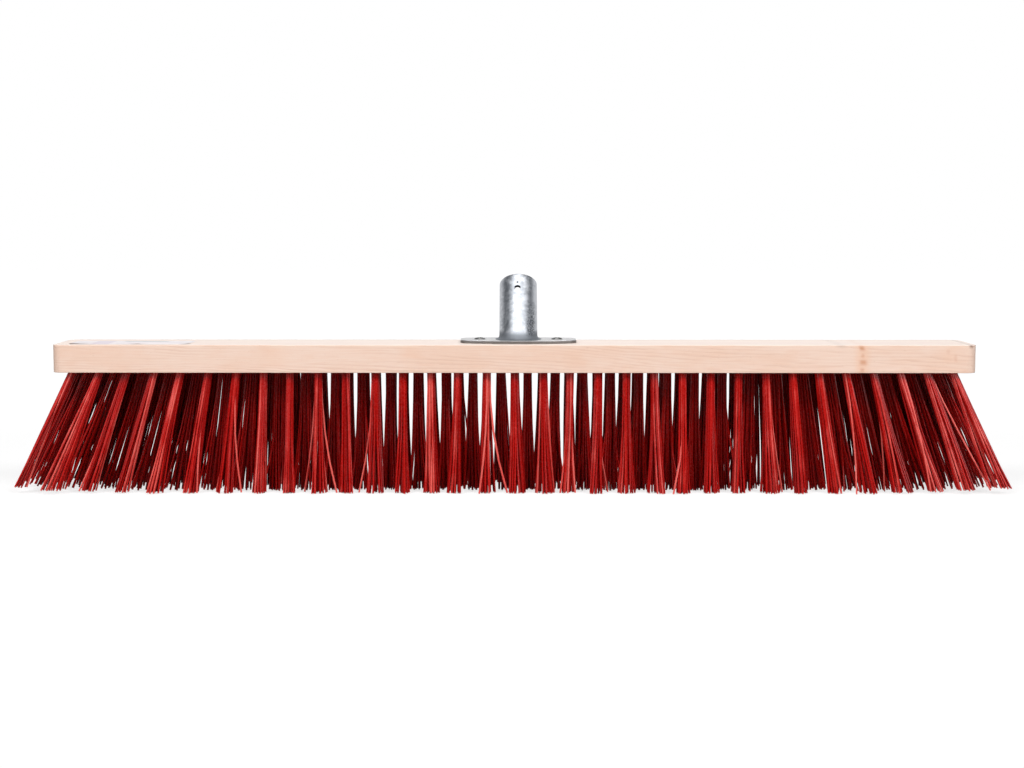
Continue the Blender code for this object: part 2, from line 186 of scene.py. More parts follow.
class ShaderTree:
    """The node tree of a material or the world, built through one method for any kind of node."""

    def __init__(self, owner: bpy.types.Material | bpy.types.World) -> None:
        """Empty the owner's tree, ready for new nodes."""
        owner.use_nodes = True
        self.tree = owner.node_tree
        self.tree.nodes.clear()
        in_world = isinstance(owner, bpy.types.World)
        self.output = "ShaderNodeOutputWorld" if in_world else "ShaderNodeOutputMaterial"

    def node(self, kind: str, settings: Mapping[str, Any] | None = None,
             feeds: Mapping[str | int, Any] | None = None, output: str | int = 0) -> Wire:
        """Add a node.

        Args:
            kind: The node's type.
            settings: Its properties, set first.
            feeds: A value or a wire for each named or numbered input.
            output: The output to return.

        Returns:
            The wire of that output.
        """
        node = self.tree.nodes.new(kind)
        for name, value in (settings or {}).items():
            setattr(node, name, value)
        for name, feed in (feeds or {}).items():
            socket = node.inputs[name]
            if isinstance(feed, Wire):
                self.tree.links.new(feed.socket, socket)
            else:
                socket.default_value = feed
        return Wire(self, node.outputs[output])

    def mix(self, share: Wire | float, first: Wire | Colour, second: Wire | Colour) -> Wire:
        """Mix two colours.

        Args:
            share: How much of the second colour shows, 0 to 1.
            first: The colour at 0.
            second: The colour at 1.

        Returns:
            The mixed colour.
        """
        feeds = {0: share, 6: first, 7: second}
        return self.node("ShaderNodeMix", {"data_type": "RGBA"}, feeds, 2)

    def place(self, scale: Point = (1.0, 1.0, 1.0), shift: Point = ORIGIN) -> Wire:
        """Return the place on the piece in millimetres, stretched and shifted.

        Args:
            scale: Factor on each axis.
            shift: Millimetres added before the scale.

        Returns:
            The vector wire.
        """
        at = self.node("ShaderNodeTexCoord", output="Object")
        at = self.vector("MULTIPLY_ADD", at, (1 / MM,) * 3, shift)
        return self.vector("MULTIPLY", at, scale)

    def vector(self, operation: str, *feeds: Wire | Vector | Point) -> Wire:
        """Add a Vector Math node of this operation that gives a vector."""
        settings = {"operation": operation}
        return self.node("ShaderNodeVectorMath", settings, dict(enumerate(feeds)))

    def length(self, vector: Wire) -> Wire:
        """Return the length of a vector."""
        return self.node("ShaderNodeVectorMath", {"operation": "LENGTH"}, {0: vector}, "Value")

    def distance(self, vector: Wire, point: Vector) -> Wire:
        """Return how far a place is from a point."""
        feeds = {0: vector, 1: point}
        return self.node("ShaderNodeVectorMath", {"operation": "DISTANCE"}, feeds, "Value")

    def join(self, *numbers: Wire | float) -> Wire:
        """Join three numbers into a vector."""
        return self.node("ShaderNodeCombineXYZ", None, dict(enumerate(numbers)))

    def parts(self, vector: Wire) -> tuple[Wire, Wire, Wire]:
        """Split a vector into its three numbers."""
        x = self.node("ShaderNodeSeparateXYZ", feeds={0: vector})
        return x, Wire(self, x.socket.node.outputs[1]), Wire(self, x.socket.node.outputs[2])

    def noise(self, mottle: Mottle) -> Wire:
        """Return a mottle's noise, 0 to 1."""
        return self.node("ShaderNodeTexNoise", None, {
            "Vector": self.place(mottle.scale, mottle.shift), "Scale": 1.0,
            "Detail": mottle.detail, "Roughness": mottle.roughness,
            "Distortion": mottle.distortion,
        })

    def bump(self, height: Wire, depth: float, strength: float) -> Wire:
        """Return the normal of a surface raised by a height of 0 to 1 times a depth in metres."""
        feeds = {"Strength": strength, "Distance": depth, "Height": height}
        return self.node("ShaderNodeBump", None, feeds)

    def surface(self, shader: Wire) -> None:
        """Make a shader the surface of the material or the world."""
        output = self.tree.nodes.new(self.output)
        self.tree.links.new(shader.socket, output.inputs["Surface"])

    def coat(self, feeds: Mapping[str, Any]) -> None:
        """Make the surface a Principled shader with these feeds."""
        self.surface(self.node("ShaderNodeBsdfPrincipled", None, feeds))


def blank(name: str) -> tuple[bpy.types.Material, ShaderTree]:
    """Make an empty material and its tree."""
    material = bpy.data.materials.new(name)
    return material, ShaderTree(material)


# ---- Finishes ----

@dataclass(frozen=True)
class Streak:
    """A mark across the grain, in millimetres: where it lies, how wide and how strong it is."""

    x: float
    half_width: float
    low: float
    high: float
    strength: float


@dataclass(frozen=True)
class Beech:
    """Planed, unvarnished steamed beech with growth rings round a pith above the board.

    Lengths are in millimetres.
    """

    pale: Colour = srgb(240, 213, 197)
    warm: Colour = srgb(235, 198, 176)
    late_wood: Colour = srgb(219, 178, 155)
    fleck: Colour = srgb(178, 126, 98)
    stain: Colour = srgb(208, 143, 108)
    halo: Colour = srgb(236, 192, 164)   # round a stain
    # painted shade of two small chips in the top front edge, which the mesh doesn't cut
    chip_shade: Colour = srgb(150, 118, 102)   # where the top front edge is chipped
    # painted sheen: the top face is mixed towards this paler colour, for the white surroundings it
    # reflects
    top_sheen: Colour = srgb(236, 226, 219)   # on its top
    end_grain: Colour = srgb(198, 172, 156)
    top: float = 129.0                   # height of its top
    half_length: float = 400.0
    pith_y: float = -46.0
    pith_z: float = 470.0
    ring: float = 2.9                    # between growth rings
    slope: float = 0.046                 # how far the rings fall along the board
    drift_height: float = 22.0           # how far they drift up and down
    drift_across: float = 9.0            # and to the front and back
    ripple_height: float = 5.5
    drift: Mottle = Mottle((0.0042, 0.022, 0.022), roughness=0.45)
    ripple: Mottle = Mottle((0.017, 0.16, 0.16), (70, 0, 0), 3.0, 0.6)
    faded: Mottle = Mottle((0.011, 0.13, 0.13), (0, 31, 7), 3.0, 0.6)    # rings that show less
    fibre: Mottle = Mottle((0.045, 1.4, 1.4), ORIGIN, 3.0, 0.62)
    cloud: Mottle = Mottle((0.022, 0.06, 0.06), (0, 9, 44), 3.0, 0.6)
    dashes: Mottle = Mottle((0.30, 2.6, 2.6), (5, 5, 5), 1.0)            # short dark flecks
    streaks: tuple[Streak, ...] = (
        Streak(299.8, 1.8, 122.5, 130.5, 0.90),
        Streak(300.2, 1.1, 117.0, 123.0, 0.70),
        Streak(301.0, 2.3, 110.5, 118.0, 1.00),
        Streak(300.6, 1.5, 104.5, 111.0, 0.65),
        Streak(374.8, 1.4, 120.0, 127.0, 0.25),
        Streak(381.0, 1.2, 113.0, 123.0, 0.25),
        Streak(389.5, 1.7, 104.5, 109.5, 0.35),
    )
    # painted shade of small chips in the top front edge; the mesh has no chip there
    chip_shades: tuple[Streak, ...] = (
        Streak(394.4, 1.5, 125.0, 135.0, 1.00),
        Streak(282.0, 3.4, 125.6, 135.0, 0.35),
    )
    halos: tuple[Streak, ...] = (
        Streak(300.5, 4.6, 102.0, 132.0, 0.75),
        Streak(376.0, 6.0, 111.0, 130.0, 0.25),
        Streak(-88.0, 9.0, 116.0, 130.0, 0.38),
        Streak(51.0, 8.0, 110.0, 128.0, 0.20),
        Streak(-206.0, 9.0, 107.0, 129.0, 0.25),
    )

    def build(self) -> bpy.types.Material:
        """Return the wood's material."""
        material, tree = blank("beech")
        x, _, z = tree.parts(tree.place())
        late = self._late_wood(tree)
        faded = tree.noise(self.faded).step(0.40, 0.66)
        fibre = tree.noise(self.fibre)
        cloud = tree.noise(self.cloud).step(0.35, 0.66)
        dashes = tree.noise(self.dashes).step(0.66, 0.78)
        colour = tree.mix(cloud * 0.48 + fibre.step(0.35, 0.7) * 0.42, self.pale, self.warm)
        colour = tree.mix(late * (0.06 + faded * 0.42), colour, self.late_wood)
        colour = tree.mix(dashes * 0.34, colour, self.fleck)
        colour = self._marked(tree, colour, self.halos, self.halo)
        colour = self._marked(tree, colour, self.streaks, self.stain)
        end = x.math("ABSOLUTE").step(self.half_length - 3.0, self.half_length - 0.6)
        colour = tree.mix(end * 0.55, colour, self.end_grain)
        colour = self._marked(tree, colour, self.chip_shades, self.chip_shade)
        # painted sheen on the top face, for its grazing reflection of the white surroundings
        top_sheen_share = z.step(self.top - 0.14, self.top - 0.02)
        tree.coat({
            "Base Color": tree.mix(top_sheen_share * 0.62, colour, self.top_sheen),
            "Roughness": 0.38 + fibre * 0.16,
            "Specular IOR Level": 0.5,
            "Normal": tree.bump(fibre * 0.6 - late * 0.25 - dashes * 0.4, 0.06 * MM, 0.6),
        })
        return material

    def _late_wood(self, tree: ShaderTree) -> Wire:
        """Return the dark late wood of the growth rings, which ends sharply at each new ring."""
        x, y, z = tree.parts(tree.place())
        drift = tree.noise(self.drift) - 0.5
        ripple = tree.noise(self.ripple) - 0.5
        height = (z + x * self.slope + drift * self.drift_height + ripple * self.ripple_height
                  - self.pith_z)
        across = y - self.pith_y + drift * self.drift_across
        from_pith = tree.length(tree.join(0.0, across, height))
        phase = (from_pith / self.ring).math("FRACT")
        return phase.step(0.35, 0.93) * phase.step(1.0, 0.94)

    def _marked(self, tree: ShaderTree, colour: Wire, streaks: Iterable[Streak],
                mark: Colour) -> Wire:
        """Lay marks over the wood.

        Args:
            tree: The material's tree.
            colour: The wood's colour so far.
            streaks: The marks.
            mark: Their colour.

        Returns:
            The colour with the marks on it.
        """
        for streak in streaks:
            colour = tree.mix(self._share(tree, streak), colour, mark)
        return colour

    @staticmethod
    def _share(tree: ShaderTree, streak: Streak) -> Wire:
        """Return how much of a mark shows, with ragged sides and ends along the fibres."""
        x, _, z = tree.parts(tree.place())
        ragged = tree.noise(Mottle((0.09, 0.10, 0.22), (streak.x, 0, 0)))
        off = (x - streak.x + (ragged - 0.5) * 4.0).math("ABSOLUTE")
        side = off.step(streak.half_width * 2.0, streak.half_width * 0.2)
        ends = z.step(streak.low, streak.low + 4) * z.step(streak.high, streak.high - 4)
        fibres = tree.noise(Mottle((0.12, 1.2, 1.2), (streak.x, 7, 0))).step(0.25, 0.75)
        return side * ends * (0.7 + fibres * 0.3) * streak.strength


@dataclass
class Coat:
    """The look of a metal's surface: its colour, its roughness and its relief."""

    colour: Wire
    roughness: Wire
    height: Wire

    def with_wear_and_shade(self, tree: ShaderTree, share: Wire, colour: Colour, roughness: float,
             height: float = 0.0) -> "Coat":
        """Return the coat with a layer laid over it, which is wear in some places and painted shade
        in others.

        Args:
            tree: The material's tree.
            share: Where the layer lies.
            colour: The colour that it turns the metal to.
            roughness: How much rougher it makes it.
            height: How much it raises the relief.

        Returns:
            The worn coat.
        """
        return Coat(tree.mix(share, self.colour, colour), self.roughness + share * roughness,
                    self.height + share * height)


@dataclass(frozen=True)
class Galvanised(ABC):
    """Hot dipped zinc on steel: satin, with a soft spangle and fine grit."""

    name: str
    bright: Colour
    dull: Colour

    def build(self) -> bpy.types.Material:
        """Return the metal's material."""
        material, tree = blank(self.name)
        feeds = {"Vector": tree.place((0.34, 0.34, 0.34)), "Scale": 1.0, "Randomness": 1.0}
        spangle = tree.parts(tree.node("ShaderNodeTexVoronoi", None, feeds, "Color"))[0]
        cloud = tree.noise(Mottle((0.17, 0.17, 0.12), (3, 8, 1), 3.0, 0.6))
        grit = tree.noise(Mottle((1.3, 1.3, 0.9), ORIGIN, 3.0, 0.65))
        tone = (spangle * 0.30 + cloud * 0.45 + grit * 0.35).step(0.28, 0.82)
        roughness = 0.25 + spangle * 0.06 + cloud * 0.08 + grit * 0.10
        coat = Coat(tree.mix(tone, self.dull, self.bright), roughness, grit * 0.9 + cloud * 0.2)
        coat = self.wear_and_shade(tree, coat)
        tree.coat({
            "Base Color": coat.colour,
            "Metallic": 1.0,
            "Roughness": coat.roughness,
            "Normal": tree.bump(coat.height, 0.05 * MM, 0.8),
        })
        return material

    @abstractmethod
    def wear_and_shade(self, tree: ShaderTree, coat: Coat) -> Coat:
        """Return the coat with the marks of making and use, and any painted shade, laid over it."""


@dataclass(frozen=True)
class GalvanisedTube(Galvanised):
    """The socket tube's zinc: pitted low on its right, rougher at the foot, with painted shade at
    the foot, inside, in the punched dot and over the hole.
    """

    base: Vector                     # middle of the foot
    axis: Vector
    radius: float
    dot: Vector                      # middle of the punched dot
    hole: Vector                     # middle of the screw hole
    hole_width: float
    # painted shade at the foot, for the dim reflection in its flare
    foot_shade: Colour = srgb(118, 122, 128)
    pit: Colour = srgb(58, 62, 68)
    # painted shade on the bore and on the hole's walls
    bore_shade: Colour = srgb(44, 46, 50)
    # painted shadow in the punched dot and along the hole's upper rim
    shadow: Colour = srgb(42, 44, 48)
    # the foot's painted shade is fullest at the first height and gone at the second
    foot_shade_full: float = 3.5           # millimetres above the base where the foot is dullest
    foot_shade_end: float = 9.0             # and where the clean zinc starts
    pits: Mottle = Mottle((1.1, 0.7, 0.8), (11, 2, 5), 2.0, 0.7, 0.4)

    def wear_and_shade(self, tree: ShaderTree, coat: Coat) -> Coat:
        """Return the coat with its pits, a rougher foot and painted shade at the foot, in the bore,
        in the dot and over the hole.
        """
        at = tree.place()
        z = tree.parts(at)[2]
        low, top = (self.base.z / MM + height for height in (self.foot_shade_full, self.foot_shade_end))
        # painted shade at the foot, standing for the dark surroundings that its flare reflects; the
        # roughness rises there too
        coat = coat.with_wear_and_shade(tree, z.step(top, low) * 0.9, self.foot_shade, 0.30)
        coat = coat.with_wear_and_shade(tree, self._pitted(tree) * 0.9, self.pit, 0.2, -1.2)
        # painted shade inside the tube and on the hole's walls
        inside = self._inside(tree) * z.step(low, low + 1.0)
        coat = coat.with_wear_and_shade(tree, inside, self.bore_shade, 0.2)
        # painted shadow in the punched dot
        dot = tree.distance(at, self.dot / MM).step(1.2, 0.6)
        coat = coat.with_wear_and_shade(tree, dot, self.shadow, 0.2)
        # painted shadow along the upper rim of the screw hole
        rim, middle = self.hole_width / 2 / MM, self.hole.z / MM
        hole_rim_shadow = tree.distance(at, self.hole / MM).step(rim + 0.8, rim + 0.45)
        return coat.with_wear_and_shade(tree, hole_rim_shadow * z.step(middle, middle + 1.2), self.shadow, 0.2)

    def _pitted(self, tree: ShaderTree) -> Wire:
        """Return where the zinc is pitted: in a lane low on the right of the tube."""
        x, _, z = tree.parts(tree.place())
        lane = (x - 14.6 - (z - 148.0) * 0.04).math("ABSOLUTE").step(5.0, 1.5)
        patch = lane * z.step(134.0, 138.0) * z.step(168.0, 150.0)
        return patch * tree.noise(self.pits).step(0.47, 0.55)

    def _inside(self, tree: ShaderTree) -> Wire:
        """Return where the surface lies nearer to the tube's axis than its outside does."""
        away = tree.vector("SUBTRACT", tree.place(), self.base / MM)
        from_axis = tree.length(tree.vector("CROSS_PRODUCT", away, self.axis))
        return from_axis.step(self.radius / MM - 0.03, self.radius / MM - 0.15)


@dataclass(frozen=True)
class GalvanisedSheet(Galvanised):
    """The flange's zinc, darker and rougher on a band along the sheet's edge."""

    top: float
    # darker colour for a band along the sheet's edge
    cut: Colour = srgb(116, 110, 106)

    def wear_and_shade(self, tree: ShaderTree, coat: Coat) -> Coat:
        """Return the coat with its dark edge."""
        z = tree.parts(tree.place())[2]
        edge = z.step(self.top / MM - 0.25, self.top / MM - 0.5)
        return coat.with_wear_and_shade(tree, edge * 0.8, self.cut, 0.15)


@dataclass(frozen=True)
class ZincPlate:
    """Bright zinc plate on the screws, with painted shade round the rim of each head for the gap of
    its countersink.
    """

    middle: Vector                   # half way between the screws
    spacing: float
    rim: float                       # radius of a screw's head
    bright: Colour = srgb(206, 207, 208)
    # painted shade round the rim of each head
    dark: Colour = srgb(84, 81, 79)
    dull: Colour = srgb(150, 148, 144)
    cloud: Mottle = Mottle((0.5, 0.5, 0.5), ORIGIN, 3.0, 0.6)
    grit: Mottle = Mottle((2.4, 2.4, 2.4), ORIGIN, 2.0, 0.6)

    def build(self) -> bpy.types.Material:
        """Return the plated metal's material."""
        material, tree = blank("zinc_plate")
        cloud = tree.noise(self.cloud)
        x, y, _ = tree.parts(tree.place())
        across = (x - self.middle.x / MM).math("ABSOLUTE") - self.spacing / 2 / MM
        from_screw = tree.length(tree.join(across, y - self.middle.y / MM, 0.0))
        # painted shade in a ring just inside each head's rim, for the gap of its countersink
        painted_light_share = from_screw.step(self.rim / MM - 1.0, self.rim / MM - 0.3) * 0.6
        colour = tree.mix(cloud.step(0.35, 0.7), self.dull, self.bright)
        tree.coat({
            "Base Color": tree.mix(painted_light_share, colour, self.dark),
            "Metallic": 1.0,
            "Roughness": 0.22 + cloud * 0.16,
            "Normal": tree.bump(tree.noise(self.grit), 0.02 * MM, 0.6),
        })
        return material


@dataclass(frozen=True)
class Filament:
    """Extruded red bristle: glossy along its side, with a painted highlight on its brightest
    strands, and paler where it is cut.
    """

    deep: Colour = srgb(140, 6, 5)
    bright: Colour = srgb(200, 24, 18)
    # painted highlight colour for the brightest strands
    pale: Colour = srgb(238, 108, 99)
    cut: Colour = srgb(226, 150, 144)
    mottle: Mottle = Mottle((0.06, 0.06, 0.03), ORIGIN, 3.0, 0.6)
    drawn: Mottle = Mottle((1.6, 1.6, 0.5))      # fine lines from the die

    def build(self) -> bpy.types.Material:
        """Return the bristles' material, which reads the tone and the cut of each strand."""
        material, tree = blank("red_filament")
        tone, cut = (tree.node("ShaderNodeAttribute", {"attribute_name": name}, output="Fac")
                     for name in (TONE, CUT))
        mottle = tree.noise(self.mottle)
        # the tone holds random variation, and also painted shade on the middle rows and inner sides
        # and a painted highlight on strays
        colour = tree.mix((tone * 0.75 + mottle * 0.5).step(0.25, 0.95), self.deep, self.bright)
        # painted highlight: the highest tones turn pale, standing for glints of the lamps along the
        # strands
        painted_light_share = (tone * 0.7 + mottle * 0.6).step(0.72, 1.05)
        colour = tree.mix(painted_light_share * 0.85, colour, self.pale)
        drawn = tree.noise(self.drawn)
        tree.coat({
            "Base Color": tree.mix(cut * 0.75, colour, self.cut),
            "Roughness": 0.20 + drawn * 0.14 + cut * 0.4,
            "Specular IOR Level": 0.5,
            "Normal": tree.bump(drawn, 0.02 * MM, 0.4),
        })
        return material


@dataclass(frozen=True)
class Paper:
    """Coated label paper, cockled by the glue under it, with a plain tint and a plain bar."""

    start: float                     # the label's left end, in millimetres
    front: float                     # and its front edge
    sheet: Colour = srgb(234, 226, 228)
    shade: Colour = srgb(208, 203, 207)
    tint: Colour = srgb(214, 203, 213)
    bar: Colour = srgb(160, 166, 169)
    cockle: Mottle = Mottle((0.018, 0.10, 1.0))
    fibre: Mottle = Mottle((1.2, 1.2, 1.2), ORIGIN, 3.0, 0.6)

    def build(self) -> bpy.types.Material:
        """Return the paper's material."""
        material, tree = blank("label_paper")
        cockle, fibre = tree.noise(self.cockle), tree.noise(self.fibre)
        x, y, _ = tree.parts(tree.place())
        u, v = x - self.start, y - self.front
        shade = (cockle * 0.8 + fibre * 0.2).step(0.42, 0.72)
        colour = tree.mix(shade, self.sheet, self.shade)
        colour = tree.mix(u.step(17.0, 20.0) * u.step(36.0, 33.0), colour, self.tint)
        bar = u.step(40.0, 46.0) * u.step(84.0, 78.0) * v.step(27.0, 30.0) * v.step(35.4, 34.6)
        tree.coat({
            "Base Color": tree.mix(bar * 0.85, colour, self.bar),
            "Roughness": 0.38 + fibre * 0.1,
            "Normal": tree.bump(cockle + fibre * 0.2, 0.12 * MM, 0.6),
        })
        return material


@dataclass(frozen=True)
class Glow:
    """An even glow, for the boards that stand round the broom."""

    name: str
    colour: Colour
    strength: float = 1.0

    def build(self) -> bpy.types.Material:
        """Return the glow's material."""
        material, tree = blank(self.name)
        feeds = {"Color": self.colour, "Strength": self.strength}
        tree.surface(tree.node("ShaderNodeEmission", None, feeds))
        return material


# ---- Meshes ----

def skin(bm: bmesh.types.BMesh, rings: Sequence[Sequence[Vector]], loop: bool = False) -> None:
    """Join rings of points, each closed on itself, into a closed surface.

    Args:
        bm: The mesh to add to.
        rings: Rings of as many points each; a ring of one point closes that end.
        loop: Whether the last ring joins the first; otherwise open ends are capped.
    """
    rows = [[bm.verts.new(point) for point in ring] for ring in rings]
    pairs = list(zip(rows, rows[1:]))
    if loop:
        pairs.append((rows[-1], rows[0]))
    for row, following in pairs:
        count = max(len(row), len(following))
        for index in range(count):
            after = (index + 1) % count
            corners = [row[index % len(row)], row[after % len(row)],
                       following[after % len(following)], following[index % len(following)]]
            bm.faces.new(tuple(dict.fromkeys(corners)))
    if not loop:
        for row in (rows[0], rows[-1]):
            if len(row) > 2:
                bm.faces.new(row)


def object_of(name: str, bm: bmesh.types.BMesh) -> bpy.types.Object:
    """Turn a mesh with faces made to point out into an object of the scene.

    Args:
        name: Name of the object and of its mesh.
        bm: The mesh, freed here.

    Returns:
        The new object, smooth but for its sharp edges.
    """
    bmesh.ops.recalc_face_normals(bm, faces=bm.faces)
    mesh = bpy.data.meshes.new(name)
    bm.to_mesh(mesh)
    bm.free()
    thing = bpy.data.objects.new(name, mesh)
    bpy.context.scene.collection.objects.link(thing)
    soften(thing)
    return thing


def soften(thing: bpy.types.Object) -> None:
    """Shade an object smooth, with its sharp edges kept."""
    thing.data.shade_smooth()
    thing.data.set_sharp_from_angle(angle=SMOOTH_ANGLE)


def carve(thing: bpy.types.Object, cutter: bpy.types.Object) -> None:
    """Cut one object out of another and delete the cutter.

    Args:
        thing: The object to cut.
        cutter: What is taken out of it.
    """
    modifier = thing.modifiers.new("carve", "BOOLEAN")
    modifier.operation = "DIFFERENCE"
    modifier.solver = "EXACT"
    modifier.object = cutter
    evaluated = thing.evaluated_get(bpy.context.evaluated_depsgraph_get())
    carved = bpy.data.meshes.new_from_object(evaluated)
    thing.modifiers.clear()
    old, thing.data = thing.data, carved
    bpy.data.meshes.remove(old)
    bpy.data.objects.remove(cutter, do_unlink=True)
    thing.data.name = thing.name
    soften(thing)


def fit(thing: bpy.types.Object, finish: bpy.types.Material,
        nodes: Iterable[str] = ()) -> bpy.types.Object:
    """Dress a piece, set it on the broom's body and report it.

    Args:
        thing: The piece.
        finish: Its material.
        nodes: The CAD nodes that the piece stands for.

    Returns:
        The piece.
    """
    thing.data.materials.clear()
    thing.data.materials.append(finish)
    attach(thing, BODY)
    nodes = tuple(nodes)
    if nodes:
        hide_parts(*nodes)
    log.info("%s: %d faces", thing.name, len(thing.data.polygons))
    return thing


def arc(start: float, end: float, steps: int) -> list[float]:
    """Return evenly spaced angles in radians from start to end, both included, in degrees."""
    return [math.radians(start + (end - start) * step / steps) for step in range(steps + 1)]


def circle(sides: int) -> list[Vector]:
    """Return points evenly spaced round a circle of radius 1, seen along Z."""
    return [Vector((math.cos(angle), math.sin(angle), 0)) for angle in arc(0, 360, sides)[:-1]]


def slab_levels(bottom: float, top: float, edge: float, steps: int,
                support: float) -> list[tuple[float, float]]:
    """Return the rings of a slab with rounded edges, from its bottom to its top.

    Args:
        bottom: Height of its underside.
        top: Height of its upper side.
        edge: Radius of its edges.
        steps: Number of flats round an edge.
        support: Width of the flat ring that keeps each level side level.

    Returns:
        How far inside the slab's outline each ring lies, and its height.
    """
    lower = [(edge * (1 - math.sin(a)), bottom + edge * (1 - math.cos(a)))
             for a in arc(0, 90, steps)]
    upper = [(inset, bottom + top - z) for inset, z in reversed(lower)]
    return [(edge + support, bottom), *lower, *upper, (edge + support, top)]


def rod(bm: bmesh.types.BMesh, start: Vector, end: Vector, start_radius: float,
        end_radius: float, sides: int) -> None:
    """Add a closed round rod between two points, tapered where its radii differ.

    Args:
        bm: The mesh to add to.
        start: Middle of one end.
        end: Middle of the other end.
        start_radius: Radius at the start.
        end_radius: Radius at the end.
        sides: Number of flats round it.
    """
    turn = (end - start).to_track_quat("Z", "Y")
    spokes = [turn @ spoke for spoke in circle(sides)]
    skin(bm, [[start + spoke * start_radius for spoke in spokes],
              [end + spoke * end_radius for spoke in spokes]])


# ---- Tufts ----

@dataclass(frozen=True)
class Strand:
    """One bristle as points along its middle, from inside the block to its tip."""

    points: tuple[Vector, ...]
    thickness: float
    tone: float


@dataclass(frozen=True)
class Clump:
    """A few bristles of a tuft that cling together: where they wander and how bright they are."""

    wander: Vector
    tone: float


def wobble(rng: random.Random) -> Vector:
    """Return a random step in the plane, about 1 long each way."""
    return Vector((rng.gauss(0, 1), rng.gauss(0, 1)))


@dataclass
class Tufts:
    """Four staggered rows of round tufts, leaning out towards the ends and edges of the block."""

    rows: int = 4
    columns: int = 33
    pitch: float = 24.34 * MM
    row_margin: float = 8 * MM           # from the block's long side to the outer rows
    slices: tuple[str, ...] = ("far_left", "left", "middle", "right", "far_right")
    end_lean: tuple[float, float] = (math.radians(24.4), math.radians(21.9))   # left, right
    end_draw_in: tuple[float, float] = (5.4 * MM, 8.6 * MM)    # how far the last tufts stand in
    fan_length: float = 195 * MM         # stretch at each end over which both grow
    outer_row_lean: float = math.radians(3.5)
    lean_scatter: float = math.radians(0.6)
    packing: tuple[tuple[int, float], ...] = ((1, 0.0), (7, 1.6 * MM), (12, 3.0 * MM))
    front_fullness: float = 0.92         # how wide a tuft is packed in the front row
    inner_fullness: float = 0.98         # and in the rows behind it
    place_scatter: float = 0.4 * MM
    front_spread: float = 1.05           # how much wider a tuft is at its tips in the front row
    inner_spread: float = 1.2            # and in the rows behind it
    end_spread: float = 1.0              # how much more that is at the last tufts, as a share
    side_fill: float = 0.48              # how much fuller the inner tufts are towards the ends
    side_from: float = 165 * MM          # how far from the middle that starts
    side_over: float = 55 * MM           # and over what stretch it grows
    spread_scatter: float = 0.22
    least_spread: float = 0.3
    flare: float = 2.1                   # how much of that lies near the tips; 1 is straight
    end_flare: float = 1.2               # the same at the last tufts
    thickness: float = 1.66 * MM
    thickness_scatter: float = 0.1
    tip_taper: float = 0.96
    end_reach: tuple[float, float] = (5.5 * MM, 4.0 * MM)      # how far the last tips reach out
    end_far_reach: float = 8.0 * MM      # and how far the furthest of them do
    # painted shade: the middle rows' tone is scaled by this, for the light that the outer rows and
    # the block keep from them
    inner_row_shade: float = 0.56             # how bright the middle rows are to the outer ones
    # the side share is painted light and shade across each tuft
    tone_shares: tuple[float, float, float] = (0.4, 0.38, 0.22)   # of clump, bristle and side
    clumps: int = 5
    clump_scatter: float = 1.25 * MM     # how far the tips of a clump wander together
    scatter: float = 0.5 * MM            # how far a tip wanders inside its clump
    stray_share: float = 0.045
    stray_reach: float = 15 * MM
    bow: float = 1.0 * MM
    ragged: float = 0.6 * MM
    end_rise: float = 5.2 * MM           # how much higher the tips of the last tufts end
    embed: float = 6 * MM
    hole: float = 9.6 * MM
    hole_depth: float = 14 * MM
    sides: int = 6
    rings: int = 7
    cut_length: float = 0.9 * MM
    seed: int = 11

    def __post_init__(self) -> None:
        """Take the block's faces from the frame; the free length is the height of its bottom."""
        low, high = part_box("wood_block")
        self.block_bottom = low.z
        self.outer_row = high.y - self.row_margin
        self.fan_start = (self.columns - 1) / 2 * self.pitch - self.fan_length

    def places(self, row: int) -> list[Vector]:
        """Return where each tuft of a row leaves the block."""
        count = self.columns - row % 2
        y = -self.outer_row + 2 * self.outer_row * row / (self.rows - 1)
        places = []
        for index in range(count):
            even = (index - (count - 1) / 2) * self.pitch
            share = max(0.0, abs(even) - self.fan_start) / self.fan_length
            inward = math.copysign(share * self.end_draw_in[int(even > 0)], even)
            places.append(Vector((even - inward, y, self.block_bottom)))
        return places

    def fan_share(self, place: Vector) -> float:
        """Return 0 in the straight middle of a row, growing to 1 at its last tuft."""
        drawn_in = self.end_draw_in[int(place.x > 0)]
        return max(0.0, abs(place.x) - self.fan_start) / (self.fan_length - drawn_in)

    def lean(self, place: Vector) -> Vector:
        """Return how far a tuft leans along X and along Y for each unit that it goes down."""
        end_lean = self.end_lean[int(place.x > 0)]
        sideways = math.tan(self.fan_share(place) * end_lean) * math.copysign(1, place.x)
        return Vector((sideways, math.tan(self.outer_row_lean * place.y / self.outer_row)))

    def _wander(self, place: Vector, offset: Vector, spread: float, clump: Clump,
                rng: random.Random) -> tuple[Vector, float]:
        """Return how far a bristle's tip lies from where its root would put it, and its tone."""
        out = offset * spread + clump.wander + wobble(rng) * self.scatter
        reach = abs(rng.uniform(-self.end_far_reach, self.end_reach[int(place.x > 0)]))
        out.x += math.copysign(reach * self.fan_share(place) ** 6, place.x)
        # painted light and shade: bristles on a tuft's outward side get a brighter tone, those on
        # its inner side a darker one
        outward = math.copysign(1, place.y) * offset.y / max(offset.length, MM)
        of_clump, of_bristle, of_lit_side = self.tone_shares
        tone = clump.tone * of_clump + rng.random() * of_bristle + (0.5 + 0.5 * outward) * of_lit_side
        if rng.random() < self.stray_share:
            away = rng.uniform(0, 2 * math.pi)
            far = rng.uniform(0.5, 1)
            out += Vector((math.cos(away), math.sin(away) * 0.6)) * far * self.stray_reach
            # painted highlight: a stray gets the brightest tone
            tone = 1.0
        # painted shade on the middle rows
        if abs(place.y) < self.outer_row * 0.5:
            tone *= self.inner_row_shade
        return out, tone

